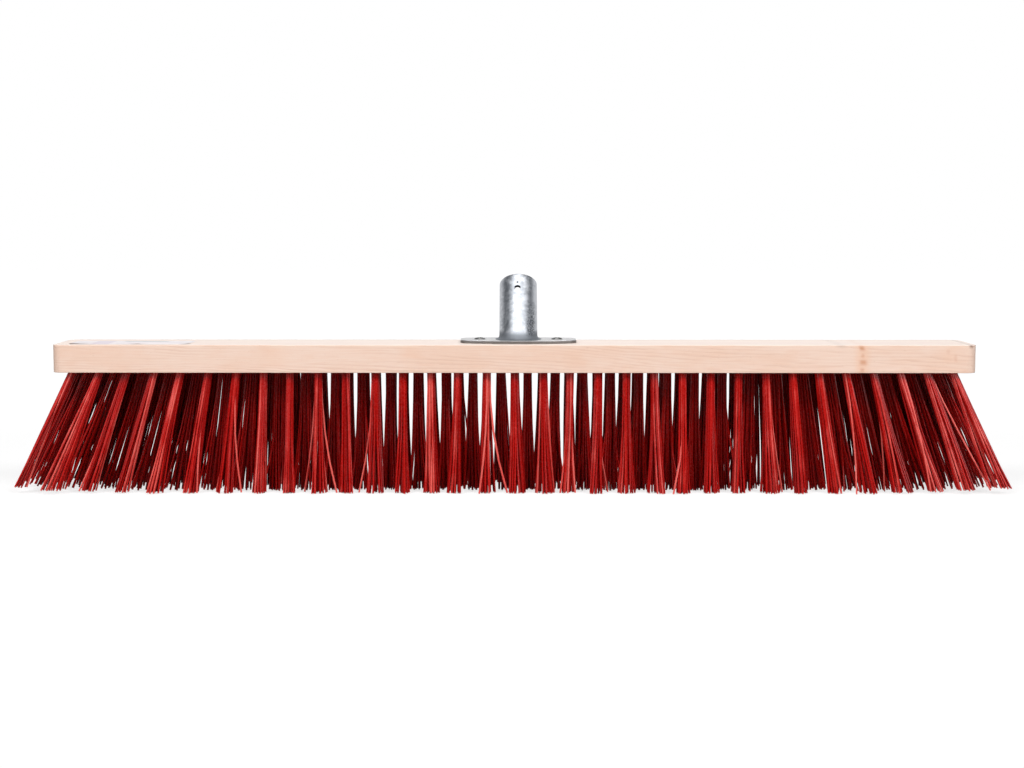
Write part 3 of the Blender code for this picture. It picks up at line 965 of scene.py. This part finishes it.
    def _boxed(self, tip: Vector, lean: Vector, rise: float) -> Vector:
        """Return a tip moved in where it would leave the CAD box."""
        low, high = CAD_BOX
        spare = self.thickness - rise * (abs(lean.x) + 0.1)
        x = min(max(tip.x, low[0] + spare), high[0] - spare)
        y = min(max(tip.y, low[1] + self.thickness), high[1] - self.thickness)
        return Vector((x, y))

    def _strand(self, place: Vector, lean: Vector, offset: Vector, spread: float,
                clump: Clump, rng: random.Random) -> Strand:
        """Make one bristle of a tuft.

        Args:
            place: Where the tuft leaves the block.
            lean: The tuft's own lean.
            offset: The bristle's place in the tuft at the block.
            spread: How much further out it ends, as a share of that offset.
            clump: The clump that it belongs to.
            rng: Source of chance.

        Returns:
            The bristle.
        """
        root = place.xy + offset
        full = self.block_bottom
        fan = self.fan_share(place)
        rise = self.end_rise * fan ** 4
        out, tone = self._wander(place, offset, spread, clump, rng)
        out = self._boxed(root + lean * full + out, lean, rise) - root - lean * full
        flare = self.flare + (self.end_flare - self.flare) * fan ** 2
        sway = wobble(rng) * self.bow * 0.5
        drop = full - max(0.0, rng.uniform(-self.ragged, self.ragged)) - rise
        thickness = self.thickness * (1 + rng.uniform(-1, 1) * self.thickness_scatter)
        steepest = (lean + out * flare / full).length
        drop = min(drop, full - thickness * 0.5 * steepest - 0.02 * MM)
        free = self.rings - 3
        depths = [-self.embed, 0.0]
        depths += [(drop - self.cut_length) * (step + 1) / free for step in range(free)]
        depths.append(drop)
        points = []
        for depth in depths:
            share = min(max(depth / full, 0.0), 1.0)
            level = root + lean * depth
            level += out * share ** flare
            level += sway * math.sin(math.pi * share)
            points.append(Vector((level.x, level.y, self.block_bottom - depth)))
        return Strand(tuple(points), thickness, tone)

    def _tuft(self, place: Vector, rng: random.Random) -> list[Strand]:
        """Make the bristles of one tuft: rings packed in its hole, each with its own turn."""
        aside = wobble(rng) * math.tan(self.lean_scatter)
        shift = wobble(rng) * self.place_scatter
        in_front = place.y < self.pitch / 2 - self.outer_row
        mean = self.front_spread if in_front else self.inner_spread
        spread = max(self.least_spread, rng.gauss(mean, self.spread_scatter))
        spread *= 1 + self.end_spread * self.fan_share(place) ** 3
        to_side = min(max((abs(place.x) - self.side_from) / self.side_over, 0.0), 1.0)
        inner_fullness = self.inner_fullness * (1 + self.side_fill * to_side)
        fullness = self.front_fullness if in_front else inner_fullness
        clumps = [Clump(wobble(rng) * self.clump_scatter, rng.random())
                  for _ in range(self.clumps)]
        lean = self.lean(place) + aside
        strands = []
        for count, radius in self.packing:
            turn = rng.uniform(0, 2 * math.pi)
            for index in range(count):
                angle = turn + index * 2 * math.pi / count
                clump = clumps[int(angle / (2 * math.pi) * self.clumps) % self.clumps]
                offset = Vector((math.cos(angle), math.sin(angle))) * radius * fullness + shift
                strands.append(self._strand(place, lean, offset, spread, clump, rng))
        return strands

    def _add(self, bm: bmesh.types.BMesh, strand: Strand, tone: Any, cut: Any) -> None:
        """Add a bristle's closed tube to a mesh, its tone and its cut end marked on its points.

        Args:
            bm: The mesh to add to.
            strand: The bristle.
            tone: Layer of the bristle's tone.
            cut: Layer that is 1 at the cut end.
        """
        points = strand.points
        spokes = circle(self.sides)
        rows = []
        for index, point in enumerate(points):
            before, after = points[max(index - 1, 0)], points[min(index + 1, len(points) - 1)]
            turn = (before - after).to_track_quat("Z", "Y")
            share = index / (len(points) - 1)
            radius = strand.thickness / 2 * (1 + (self.tip_taper - 1) * share)
            row = [bm.verts.new(point + turn @ spoke * radius) for spoke in spokes]
            for vertex in row:
                vertex[tone] = strand.tone
                vertex[cut] = float(index == len(points) - 1)
            rows.append(row)
        for row, following in zip(rows, rows[1:]):
            for index in range(self.sides):
                after = (index + 1) % self.sides
                bm.faces.new((row[index], row[after], following[after], following[index]))
        bm.faces.new(rows[0])
        bm.faces.new(rows[-1])

    def build(self, finish: bpy.types.Material) -> list[bpy.types.Object]:
        """Build every slice of every row.

        Args:
            finish: The bristles' material.

        Returns:
            The pieces, one for each CAD node of bristles.
        """
        rng = random.Random(self.seed)
        pieces = []
        for row in range(self.rows):
            places = self.places(row)
            cuts = [round(index * len(places) / len(self.slices))
                    for index in range(len(self.slices) + 1)]
            for name, first, end in zip(self.slices, cuts, cuts[1:]):
                bm = bmesh.new()
                tone = bm.verts.layers.float.new(TONE)
                cut = bm.verts.layers.float.new(CUT)
                for place in places[first:end]:
                    for strand in self._tuft(place, rng):
                        self._add(bm, strand, tone, cut)
                piece = object_of(f"bristles_row_{row + 1}_{name}", bm)
                fit(piece, finish, [f"tufts_row_{row + 1}_{name}"])
                pieces.append(piece)
        return pieces

    def add_drills(self, bm: bmesh.types.BMesh) -> None:
        """Add the drills of every tuft hole to a mesh, each along its own tuft."""
        for row in range(self.rows):
            for place in self.places(row):
                lean = self.lean(place)
                way = Vector((lean.x, lean.y, -1.0))
                rod(bm, place + way * self.hole_depth * 0.5, place - way * self.hole_depth,
                    self.hole / 2, self.hole / 2, 20)


# ---- Block ----

@dataclass
class Block:
    """The planed beech block with rounded corners and edges, drilled for its tufts."""

    corner: float = 9.5 * MM
    edge: float = 0.4 * MM
    corner_steps: int = 14
    edge_steps: int = 6
    support: float = 0.4 * MM            # width of the flat rings that keep its faces flat
    stations: int = 40                   # points along each long side

    def __post_init__(self) -> None:
        """Take the block's box from the frame."""
        self.low, self.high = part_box("wood_block")

    def _outline(self, inset: float, z: float) -> list[Vector]:
        """Return the block's outline at one height.

        Args:
            inset: How far inside the block's sides it lies.
            z: Its height.

        Returns:
            The points, anticlockwise seen from above.
        """
        half_x = (self.high.x - self.low.x) / 2 - self.corner
        half_y = (self.high.y - self.low.y) / 2 - self.corner
        middle = (self.low + self.high) / 2
        radius = self.corner - inset
        points = []
        for quarter, (sx, sy) in enumerate(((1, 1), (-1, 1), (-1, -1), (1, -1))):
            for angle in arc(90 * quarter, 90 * quarter + 90, self.corner_steps):
                spoke = Vector((math.cos(angle), math.sin(angle))) * radius
                points.append(Vector((middle.x + sx * half_x + spoke.x,
                                      middle.y + sy * half_y + spoke.y, z)))
            if sx == sy:
                for station in range(1, self.stations):
                    share = 1 - 2 * station / self.stations
                    y = middle.y + sy * (half_y + radius)
                    points.append(Vector((middle.x + sx * half_x * share, y, z)))
        return points

    def build(self, finish: bpy.types.Material, tufts: Tufts) -> bpy.types.Object:
        """Build the block.

        Args:
            finish: The wood's material.
            tufts: The tufts that its holes are drilled for.

        Returns:
            The block's piece.
        """
        levels = slab_levels(self.low.z, self.high.z, self.edge, self.edge_steps, self.support)
        half = len(levels) // 2
        side = [(0.0, levels[half - 1][1] + self.support), (0.0, levels[half][1] - self.support)]
        bm = bmesh.new()
        skin(bm, [self._outline(inset, z) for inset, z in levels[:half] + side + levels[half:]])
        block = object_of("block", bm)
        drills = bmesh.new()
        tufts.add_drills(drills)
        carve(block, object_of("drills", drills))
        return fit(block, finish, ["wood_block"])


# ---- Handle socket ----

@dataclass
class HandleSocket:
    """The tube for the handle, its flared foot and the pressed flange under it."""

    lean: float = math.radians(39)
    length: float = 59.3 * MM
    wall: float = 2.2 * MM
    foot_height: float = 5.0 * MM        # of the flare, along the tube
    foot_flare: float = 3.4 * MM         # how far the rim spreads past the tube, at most
    foot_spread: float = 2.0 * MM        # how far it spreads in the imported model
    hole: float = 5.3 * MM
    hole_aside: float = -0.8 * MM        # of the hole and the dot, to the left
    hole_below_mouth: float = 16 * MM
    dot: float = 0.9 * MM
    dot_below_mouth: float = 9.4 * MM
    lip: float = 0.55 * MM               # rounding of the mouth's edges
    lip_steps: int = 4
    tube_steps: int = 18
    flare_steps: int = 14
    sides: int = 120
    flange_bow: float = 150 * MM
    flange_corner: float = 9 * MM
    flange_edge: float = 0.3 * MM
    flange_support: float = 0.3 * MM     # width of the flat rings that keep its faces flat
    weld_sink: float = 0.35 * MM         # how far the foot runs into the flange
    screw_spacing: float = 68 * MM

    def __post_init__(self) -> None:
        """Take the places of the tube and the flange from the frame."""
        low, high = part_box("socket_tube")
        self.flange_low, self.flange_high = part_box("socket_flange")
        self.foot_radius = (high.x - low.x) / 2
        self.radius = (self.foot_radius - self.foot_spread) * math.cos(self.lean)
        self.bore = self.radius - self.wall
        self.base = Vector(((low.x + high.x) / 2, low.y + self.foot_radius, low.z))
        self.axis = Vector((0, math.sin(self.lean), math.cos(self.lean)))
        self.back = Vector((0, math.cos(self.lean), -math.sin(self.lean)))
        self.dot_at = self._point(self.radius, -math.pi / 2, self.length - self.dot_below_mouth)
        self.dot_at.x += self.hole_aside
        self.hole_at = self._point(self.radius, -math.pi / 2, self.length - self.hole_below_mouth)
        self.hole_at.x += self.hole_aside

    def _point(self, radius: float, angle: float, along: float) -> Vector:
        """Return a point at a radius and angle round the tube's axis and a distance along it."""
        across = math.cos(angle) * Vector((1, 0, 0)) + math.sin(angle) * self.back
        return self.base + along * self.axis + radius * across

    def _foot(self, radius: float, angle: float, down: float = 0.0) -> Vector:
        """Return where a line along the tube meets its foot's level plane, or one lower down."""
        along = radius * math.sin(angle) * math.tan(self.lean) - down / math.cos(self.lean)
        return self._point(radius, angle, along)

    def _section(self, angle: float) -> list[Vector]:
        """Return the wall's outline at one angle: over the mouth, down the outside, to the bore."""
        lip = [(self.lip * (1 - math.cos(a)), self.lip * (1 - math.sin(a)))
               for a in arc(0, 90, self.lip_steps)]
        mouth = [self._point(self.bore + far, angle, self.length - low) for far, low in lip]
        mouth += [self._point(self.radius - far, angle, self.length - low) for low, far in lip]
        corner = self._foot(self.radius, angle)
        start = corner + self.axis * self.foot_height
        outward = corner - self.base
        reach = min(self.foot_radius, outward.length + self.foot_flare)
        rim = self.base + outward.normalized() * reach
        body = [mouth[-1].lerp(start, step / self.tube_steps)
                for step in range(1, self.tube_steps)]
        flare = []
        for step in range(self.flare_steps + 1):
            t = step / self.flare_steps
            flare.append((1 - t) ** 2 * start + 2 * t * (1 - t) * corner + t ** 2 * rim)
        sunk = Vector((0, 0, -self.weld_sink))
        return [*mouth, *body, *flare, rim + sunk, self._foot(self.bore, angle, self.weld_sink)]

    def build_tube(self, finish: bpy.types.Material) -> bpy.types.Object:
        """Build the tube with its flared foot and the hole for the handle's screw."""
        bm = bmesh.new()
        sections = [self._section(angle) for angle in arc(0, 360, self.sides)[:-1]]
        skin(bm, [list(ring) for ring in zip(*sections)], loop=True)
        tube = object_of("socket_tube_welded", bm)
        drill = bmesh.new()
        spokes = [math.cos(a) * Vector((1, 0, 0)) + math.sin(a) * self.axis
                  for a in arc(0, 360, 32)[:-1]]
        hole = self.hole / 2
        profile = ((hole, self.radius / 2), (hole, 0.1 * MM), (hole + 0.1 * MM, 0.0),
                   (hole + 0.6 * MM, -0.4 * MM), (hole + 0.6 * MM, -4 * MM))
        skin(drill, [[self.hole_at + self.back * depth + spoke * radius for spoke in spokes]
                     for radius, depth in profile])
        carve(tube, object_of("hole_drill", drill))
        punch = bmesh.new()
        deep, clear = self.dot_at + self.back * 0.5 * MM, self.dot_at - self.back * MM
        rod(punch, deep, clear, self.dot / 4, self.dot, 16)
        carve(tube, object_of("dot_punch", punch))
        return fit(tube, finish, ["socket_tube"])

    def _flange_outline(self, inset: float, z: float) -> list[Vector]:
        """Return the flange's outline at one height: bowed long sides and round ends.

        Args:
            inset: How far inside its edge the outline lies.
            z: Its height.

        Returns:
            The points, anticlockwise seen from above.
        """
        middle = (self.flange_low + self.flange_high) / 2
        half_length = (self.flange_high.x - self.flange_low.x) / 2
        half_width = (self.flange_high.y - self.flange_low.y) / 2
        corner_x = half_length - self.flange_corner
        bow_y = half_width - self.flange_bow
        corner_y = bow_y + math.sqrt((self.flange_bow - self.flange_corner) ** 2 - corner_x ** 2)
        meet = math.degrees(math.atan2(corner_y - bow_y, corner_x))
        small, large = self.flange_corner - inset, self.flange_bow - inset
        quarter = [(corner_x + small * math.cos(a), corner_y + small * math.sin(a))
                   for a in arc(0, meet, 12)]
        quarter += [(large * math.cos(a), bow_y + large * math.sin(a))
                    for a in arc(meet, 90, 20)[1:]]
        half = quarter + [(-x, y) for x, y in reversed(quarter[:-1])]
        whole = half + [(-x, -y) for x, y in half]
        return [Vector((middle.x + x, middle.y + y, z)) for x, y in whole]

    def screw_places(self) -> dict[str, Vector]:
        """Return the middle of each screw on the top of the flange."""
        top = self.flange_high.z
        return {side: Vector((self.base.x + sign * self.screw_spacing / 2, self.base.y, top))
                for side, sign in (("left", -1), ("right", 1))}

    def build_flange(self, finish: bpy.types.Material, screws: "Screws") -> bpy.types.Object:
        """Build the flange, open under the tube and countersunk for its screws.

        Args:
            finish: Its material.
            screws: The screws that its holes fit.

        Returns:
            The flange's piece.
        """
        levels = slab_levels(self.flange_low.z, self.flange_high.z, self.flange_edge, 4,
                             self.flange_support)
        bm = bmesh.new()
        skin(bm, [self._flange_outline(inset, z) for inset, z in levels])
        flange = object_of("socket_flange_pressed", bm)
        bore = bmesh.new()
        reach = self.axis * 20 * MM
        rod(bore, self.base - reach, self.base + reach, self.bore, self.bore, self.sides)
        carve(flange, object_of("bore_cutter", bore))
        for side, place in self.screw_places().items():
            carve(flange, screws.countersink(f"countersink_{side}", place))
        return fit(flange, finish, ["socket_flange"])


# ---- Screws ----

@dataclass
class Screws:
    """Raised countersunk wood screws with a cross recess and a cut thread."""

    head: float = 10.2 * MM
    crown: float = 1.6 * MM
    fullness: float = 5.0                # how flat the crown is in its middle
    shank: float = 4.5 * MM
    length: float = 20 * MM
    point: float = 4 * MM
    thread_pitch: float = 1.8 * MM
    thread_depth: float = 0.45 * MM
    thread_steps: int = 60
    recess_span: float = 6.0 * MM
    recess_width: float = 1.1 * MM
    recess_depth: float = 1.7 * MM
    clearance: float = 0.55 * MM
    sides: int = 48
    turns: tuple[tuple[str, float], ...] = (
        ("left", math.radians(20)), ("right", math.radians(55)))       # of the recesses

    def _ring(self, place: Vector, radius: float, z: float) -> list[Vector]:
        """Return a level ring round the screw's axis."""
        return [place + Vector((radius * math.cos(a), radius * math.sin(a), z))
                for a in arc(0, 360, self.sides)[:-1]]

    def countersink(self, name: str, place: Vector) -> bpy.types.Object:
        """Return the cutter of a countersunk hole, a little wider than the screw."""
        bm = bmesh.new()
        hole = self.shank / 2 + self.clearance
        depth = (self.head - self.shank) / 2
        profile = ((hole, -8 * MM), (hole, -depth), (hole + depth, 0.0), (hole + depth, 8 * MM))
        skin(bm, [self._ring(place, radius, z) for radius, z in profile])
        return object_of(name, bm)

    def _thread(self, place: Vector) -> list[list[Vector]]:
        """Return the rings of the threaded shank, from under the head down to the point."""
        rings = []
        top = -(self.head - self.shank) / 2
        for step in range(self.thread_steps + 1):
            z = top + (-self.length - top) * step / self.thread_steps
            taper = min(1.0, (z + self.length) / self.point)
            ring = []
            for a in arc(0, 360, self.sides)[:-1]:
                phase = (z / self.thread_pitch + a / (2 * math.pi)) % 1.0
                ridge = max(0.0, 1 - abs(phase - 0.5) * 4) if step > 2 else 1.0
                radius = (self.shank / 2 - self.thread_depth * (1 - ridge)) * max(taper, 0.05)
                ring.append(place + Vector((radius * math.cos(a), radius * math.sin(a), z)))
            rings.append(ring)
        return rings

    def build(self, side: str, place: Vector, finish: bpy.types.Material) -> bpy.types.Object:
        """Build one screw.

        Args:
            side: "left" or "right".
            place: Middle of the screw on the top of the flange.
            finish: Its material.

        Returns:
            The screw's piece.
        """
        bm = bmesh.new()
        half = self.head / 2
        crown = [(half * share, self.crown * (1 - share ** self.fullness))
                 for share in (0.12, 0.3, 0.5, 0.65, 0.76, 0.84, 0.9, 0.95, 0.985)]
        rim = [(half, 0.0), (half - 0.1 * MM, -0.15 * MM)]
        rings = [[place + Vector((0, 0, self.crown))]]
        rings += [self._ring(place, radius, z) for radius, z in crown + rim]
        rings += self._thread(place)
        skin(bm, rings)
        screw = object_of(f"wood_screw_{side}", bm)
        turn = dict(self.turns)[side]
        for blade in (turn, turn + math.pi / 2):
            carve(screw, self._blade(place, blade))
        return fit(screw, finish, [f"screw_{side}"])

    def _blade(self, place: Vector, turn: float) -> bpy.types.Object:
        """Return the cutter of one arm of the cross recess, narrower at its foot."""
        bm = bmesh.new()
        spin = Matrix.Rotation(turn, 3, "Z")
        rings = []
        for share, z in ((0.45, self.crown - self.recess_depth), (1.0, self.crown + 0.4 * MM)):
            x, y = self.recess_span / 2 * share, self.recess_width / 2 * (0.7 + 0.3 * share)
            corners = ((-x, -y), (x, -y), (x, y), (-x, y))
            rings.append([place + spin @ Vector((cx, cy, z)) for cx, cy in corners])
        skin(bm, rings)
        return object_of("recess_blade", bm)


# ---- Label ----

@dataclass
class Label:
    """The paper label on top of the block, which has come loose in three places."""

    length: float = 104 * MM
    width: float = 36 * MM
    from_end: float = 12.5 * MM
    forward: float = 5.5 * MM
    corner: float = 2.5 * MM
    thickness: float = 0.12 * MM
    glue: float = 0.04 * MM
    cockle_length: float = 6 * MM
    cockle_width: float = 9 * MM
    lifts: tuple[tuple[float, float, float, float], ...] = (   # middle, half length, depth, rise
        (0.0, 27 * MM, 9 * MM, 0.9 * MM),
        (60 * MM, 10 * MM, 8 * MM, 0.55 * MM),
        (104 * MM, 9 * MM, 26 * MM, 0.6 * MM),
    )
    columns: int = 72
    rows: int = 30

    def __post_init__(self) -> None:
        """Take the label's place from the frame."""
        low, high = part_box("wood_block")
        self.left = low.x + self.from_end
        self.front = (low.y + high.y) / 2 - self.width / 2 - self.forward
        self.under = high.z

    def _level(self, u: float, v: float) -> float:
        """Return how high the sheet's underside stands above the wood.

        Args:
            u: Distance from its left end.
            v: Distance from its front edge.

        Returns:
            The height in metres.
        """
        wave = 0.5 + 0.5 * math.sin(u / self.cockle_length) * math.sin(v / self.cockle_width)
        level = self.glue * (1 + wave)
        for middle, half, depth, height in self.lifts:
            loose = max(0.0, 1 - abs(u - middle) / half) * max(0.0, 1 - v / depth)
            level += height * loose ** 2
        return level

    def build(self, finish: bpy.types.Material) -> bpy.types.Object:
        """Build the label on the block's top."""
        bm = bmesh.new()
        sheets = []
        for over in (0.0, self.thickness):
            grid = []
            for row in range(self.rows + 1):
                v = self.width * row / self.rows
                line = []
                for column in range(self.columns + 1):
                    u = self.length * column / self.columns
                    x, y = self._rounded(u, v)
                    z = self.under + self._level(x, y) + over
                    line.append(bm.verts.new((self.left + x, self.front + y, z)))
                grid.append(line)
            sheets.append(grid)
        for grid in sheets:
            for line, following in zip(grid, grid[1:]):
                for index in range(self.columns):
                    bm.faces.new((line[index], line[index + 1],
                                  following[index + 1], following[index]))
        rims = [self._rim(grid) for grid in sheets]
        count = len(rims[0])
        for index in range(count):
            after = (index + 1) % count
            bm.faces.new((rims[0][index], rims[0][after], rims[1][after], rims[1][index]))
        return fit(object_of("label", bm), finish)

    def _rounded(self, u: float, v: float) -> tuple[float, float]:
        """Move a point of the square grid so that the sheet's corners come out round."""
        du = min(u, self.length - u)
        dv = min(v, self.width - v)
        if du >= self.corner or dv >= self.corner:
            return u, v
        a, b = self.corner - du, self.corner - dv
        shrink = max(a, b) / math.hypot(a, b) if a or b else 1.0
        x = self.corner - a * shrink
        y = self.corner - b * shrink
        return (x if u < self.length / 2 else self.length - x,
                y if v < self.width / 2 else self.width - y)

    @staticmethod
    def _rim(grid: list[list[Any]]) -> list[Any]:
        """Return the outer points of a grid in order."""
        return (grid[0][:-1] + [line[-1] for line in grid[:-1]]
                + grid[-1][:0:-1] + [line[0] for line in grid[:0:-1]])


# ---- Studio ----

@dataclass(frozen=True)
class Lamp:
    """A soft box that the camera doesn't see."""

    name: str
    place: Point
    size: tuple[float, float]
    power: float                         # in watts

    def hang(self, target: Point) -> None:
        """Hang the lamp, pointed at a target."""
        data = bpy.data.lights.new(self.name, "AREA")
        data.shape = "RECTANGLE"
        data.size, data.size_y = self.size
        data.energy = self.power
        lamp = bpy.data.objects.new(self.name, data)
        lamp.location = self.place
        away = Vector(self.place) - Vector(target)
        lamp.rotation_euler = away.to_track_quat("Z", "Y").to_euler()
        lamp.visible_camera = False
        bpy.context.scene.collection.objects.link(lamp)


@dataclass(frozen=True)
class Board:
    """A board that only gloss sees: its glow, a corner and the two edges that start there."""

    name: str
    look: Glow
    corner: Point
    along: Point
    up: Point

    def hang(self) -> None:
        """Hang the board."""
        corner, along, up = Vector(self.corner), Vector(self.along), Vector(self.up)
        bm = bmesh.new()
        bm.faces.new([bm.verts.new(point) for point in
                      (corner, corner + along, corner + along + up, corner + up)])
        board = object_of(self.name, bm)
        board.data.materials.append(self.look.build())
        for ray in ("camera", "diffuse", "transmission", "volume_scatter", "shadow"):
            setattr(board, f"visible_{ray}", False)
        board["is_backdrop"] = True


DARK = Glow("dark_board", srgb(66, 69, 74))
DIM = Glow("dim_board", srgb(72, 76, 82))
GREY = Glow("grey_board", srgb(190, 190, 190))
BRIGHT = Glow("bright_board", srgb(255, 255, 255), 2.6)


@dataclass
class Studio:
    """The camera, the lamps, the white floor and the white surroundings."""

    lens: float = 61.26
    sensor: float = 36.0
    stand_off: float = 1.4989            # from the block's front to the camera
    eye_height: float = 0.135            # above the block's underside
    eye_left: float = 0.0021
    pitch: float = math.radians(5.508)
    roll: float = math.radians(0.03)
    ambient: float = 0.06                # how much of the white world lights the broom
    floor_size: float = 12.0
    floor_drop: float = 0.3 * MM
    floor_glow: float = 1.03
    floor_bounce: float = 0.32           # what the floor throws back at the broom
    shadow_share: float = 0.28           # how much of the floor's own light and shade shows
    shadow_reach: tuple[float, float] = (0.62, 1.15)    # where it starts to fade, and is gone
    aim: Point = (0.0, 0.0, 0.1)         # what the lamps point at
    lamps: tuple[Lamp, ...] = (
        Lamp("key_left", (-1.1, -1.3, 1.85), (0.9, 0.9), 38.0),
        Lamp("key_right", (1.1, -1.3, 1.85), (0.9, 0.9), 40.0),
        Lamp("side_left", (-1.9, -1.5, 0.7), (1.2, 1.2), 9.5),
        Lamp("side_right", (1.9, -1.5, 0.7), (1.2, 1.2), 9.5),
        Lamp("back_fill", (0.0, 1.9, 1.5), (2.0, 1.0), 6.5),
    )
    boards: tuple[Board, ...] = (
        Board("board_left", DARK, (-1.4, 0.95, 0), (0, -3.05, 0), (0, 0, 4.1)),
        Board("board_right", DIM, (1.95, -2.1, 0), (0, 3.05, 0), (0, 0, 1.6)),
        Board("board_front", DARK, (-1.4, -2.1, 0), (3.3, 0, 0), (0, 0, 1)),
        Board("board_low", DARK, (-1.6, -2.1, 0.001), (3.5, 0, 0), (0, 3.4, 0)),
        Board("board_above", DARK, (-1.4, 0.18, 1.68), (3.3, 0, 0), (0, 1.42, -0.58)),
        Board("board_grey", GREY, (0.34, -0.8, 1.65), (1.56, 0, 0), (0, 0.97, 0)),
        Board("board_bright", BRIGHT, (-0.38, -0.8, 1.65), (0.72, 0, 0), (0, 0.97, 0)),
    )

    def place_camera(self) -> None:
        """Set the camera in front of the block, a little above it."""
        data = bpy.data.cameras.new("camera")
        data.lens = self.lens
        data.sensor_width = self.sensor
        camera = bpy.data.objects.new("camera", data)
        low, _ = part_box("wood_block")
        camera.location = (-self.eye_left, low.y - self.stand_off, low.z + self.eye_height)
        tilt = Matrix.Rotation(math.pi / 2 - self.pitch, 3, "X")
        camera.rotation_euler = (tilt @ Matrix.Rotation(self.roll, 3, "Z")).to_euler()
        bpy.context.scene.collection.objects.link(camera)
        bpy.context.scene.camera = camera

    @staticmethod
    def _seen(tree: ShaderTree) -> Wire:
        """Return 1 for rays from the camera, off gloss or through glass, which see the studio."""
        rays = [tree.node("ShaderNodeLightPath", output=name)
                for name in ("Is Camera Ray", "Is Glossy Ray", "Is Transmission Ray")]
        return rays[0].math("MAXIMUM", rays[1]).math("MAXIMUM", rays[2])

    def light_world(self) -> None:
        """Give the world a white that is seen and a dimmer one that lights."""
        world = bpy.data.worlds.new("studio")
        bpy.context.scene.world = world
        tree = ShaderTree(world)
        strength = self.ambient + self._seen(tree) * (1 - self.ambient)
        feeds = {"Color": WHITE, "Strength": strength}
        tree.surface(tree.node("ShaderNodeBackground", None, feeds))

    def lay_floor(self) -> None:
        """Lay the white floor, which keeps a soft shadow of the broom."""
        material, tree = blank("white_floor")
        own = tree.node("ShaderNodeBsdfDiffuse", None, {"Color": WHITE})
        feeds = {"Color": WHITE, "Strength": self.floor_glow}
        glow = tree.node("ShaderNodeEmission", None, feeds)
        grey: Colour = (self.floor_bounce,) * 3 + (1.0,)
        bounce = tree.node("ShaderNodeBsdfDiffuse", None, {"Color": grey})
        far = tree.length(tree.place((MM, MM * 1.6, MM)))
        start, end = self.shadow_reach
        near = far.step(end, start) * self.shadow_share
        shown = tree.node("ShaderNodeMixShader", None, {0: near, 1: glow, 2: own})
        feeds = {0: self._seen(tree), 1: bounce, 2: shown}
        tree.surface(tree.node("ShaderNodeMixShader", None, feeds))
        bm = bmesh.new()
        bmesh.ops.create_grid(bm, x_segments=1, y_segments=1, size=self.floor_size / 2)
        floor = object_of("floor", bm)
        floor.location.z = -self.floor_drop
        floor.data.materials.append(material)
        floor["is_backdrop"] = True

    def build(self) -> None:
        """Set up the whole studio."""
        bpy.context.scene.view_settings.view_transform = "Standard"
        self.place_camera()
        self.light_world()
        self.lay_floor()
        for lamp in self.lamps:
            lamp.hang(self.aim)
        for board in self.boards:
            board.hang()


def write_sizes() -> None:
    """Write the CAD box and the dressed model's box as plain lists."""
    boxes = {"cad": CAD_BOX, "visual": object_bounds()}
    plain = {name: [list(corner) for corner in corners] for name, corners in boxes.items()}
    for name, corners in plain.items():
        in_mm = [[round(value / MM, 2) for value in corner] for corner in corners]
        log.info("%s box: %s", name, in_mm)


def main() -> None:
    """Build the studio and every piece of the broom head in order."""
    logging.basicConfig(level=logging.INFO, format="%(name)s %(message)s")
    Studio().build()
    tufts = Tufts()
    Block().build(Beech().build(), tufts)
    tufts.build(Filament().build())
    socket = HandleSocket()
    screws = Screws()
    tube_zinc = GalvanisedTube(
        "galvanised_tube", srgb(206, 209, 214), srgb(166, 171, 178), socket.base,
        socket.axis, socket.radius, socket.dot_at, socket.hole_at, socket.hole)
    flange_zinc = GalvanisedSheet("galvanised_flange", srgb(206, 206, 207),
                                  srgb(174, 174, 175), socket.flange_high.z)
    socket.build_tube(tube_zinc.build())
    socket.build_flange(flange_zinc.build(), screws)
    zinc = ZincPlate(socket.base, socket.screw_spacing, screws.head / 2).build()
    for side, place in socket.screw_places().items():
        screws.build(side, place, zinc)
    label = Label()
    label.build(Paper(label.left / MM, label.front / MM).build())
    write_sizes()


if __name__ == "__main__":
    main()
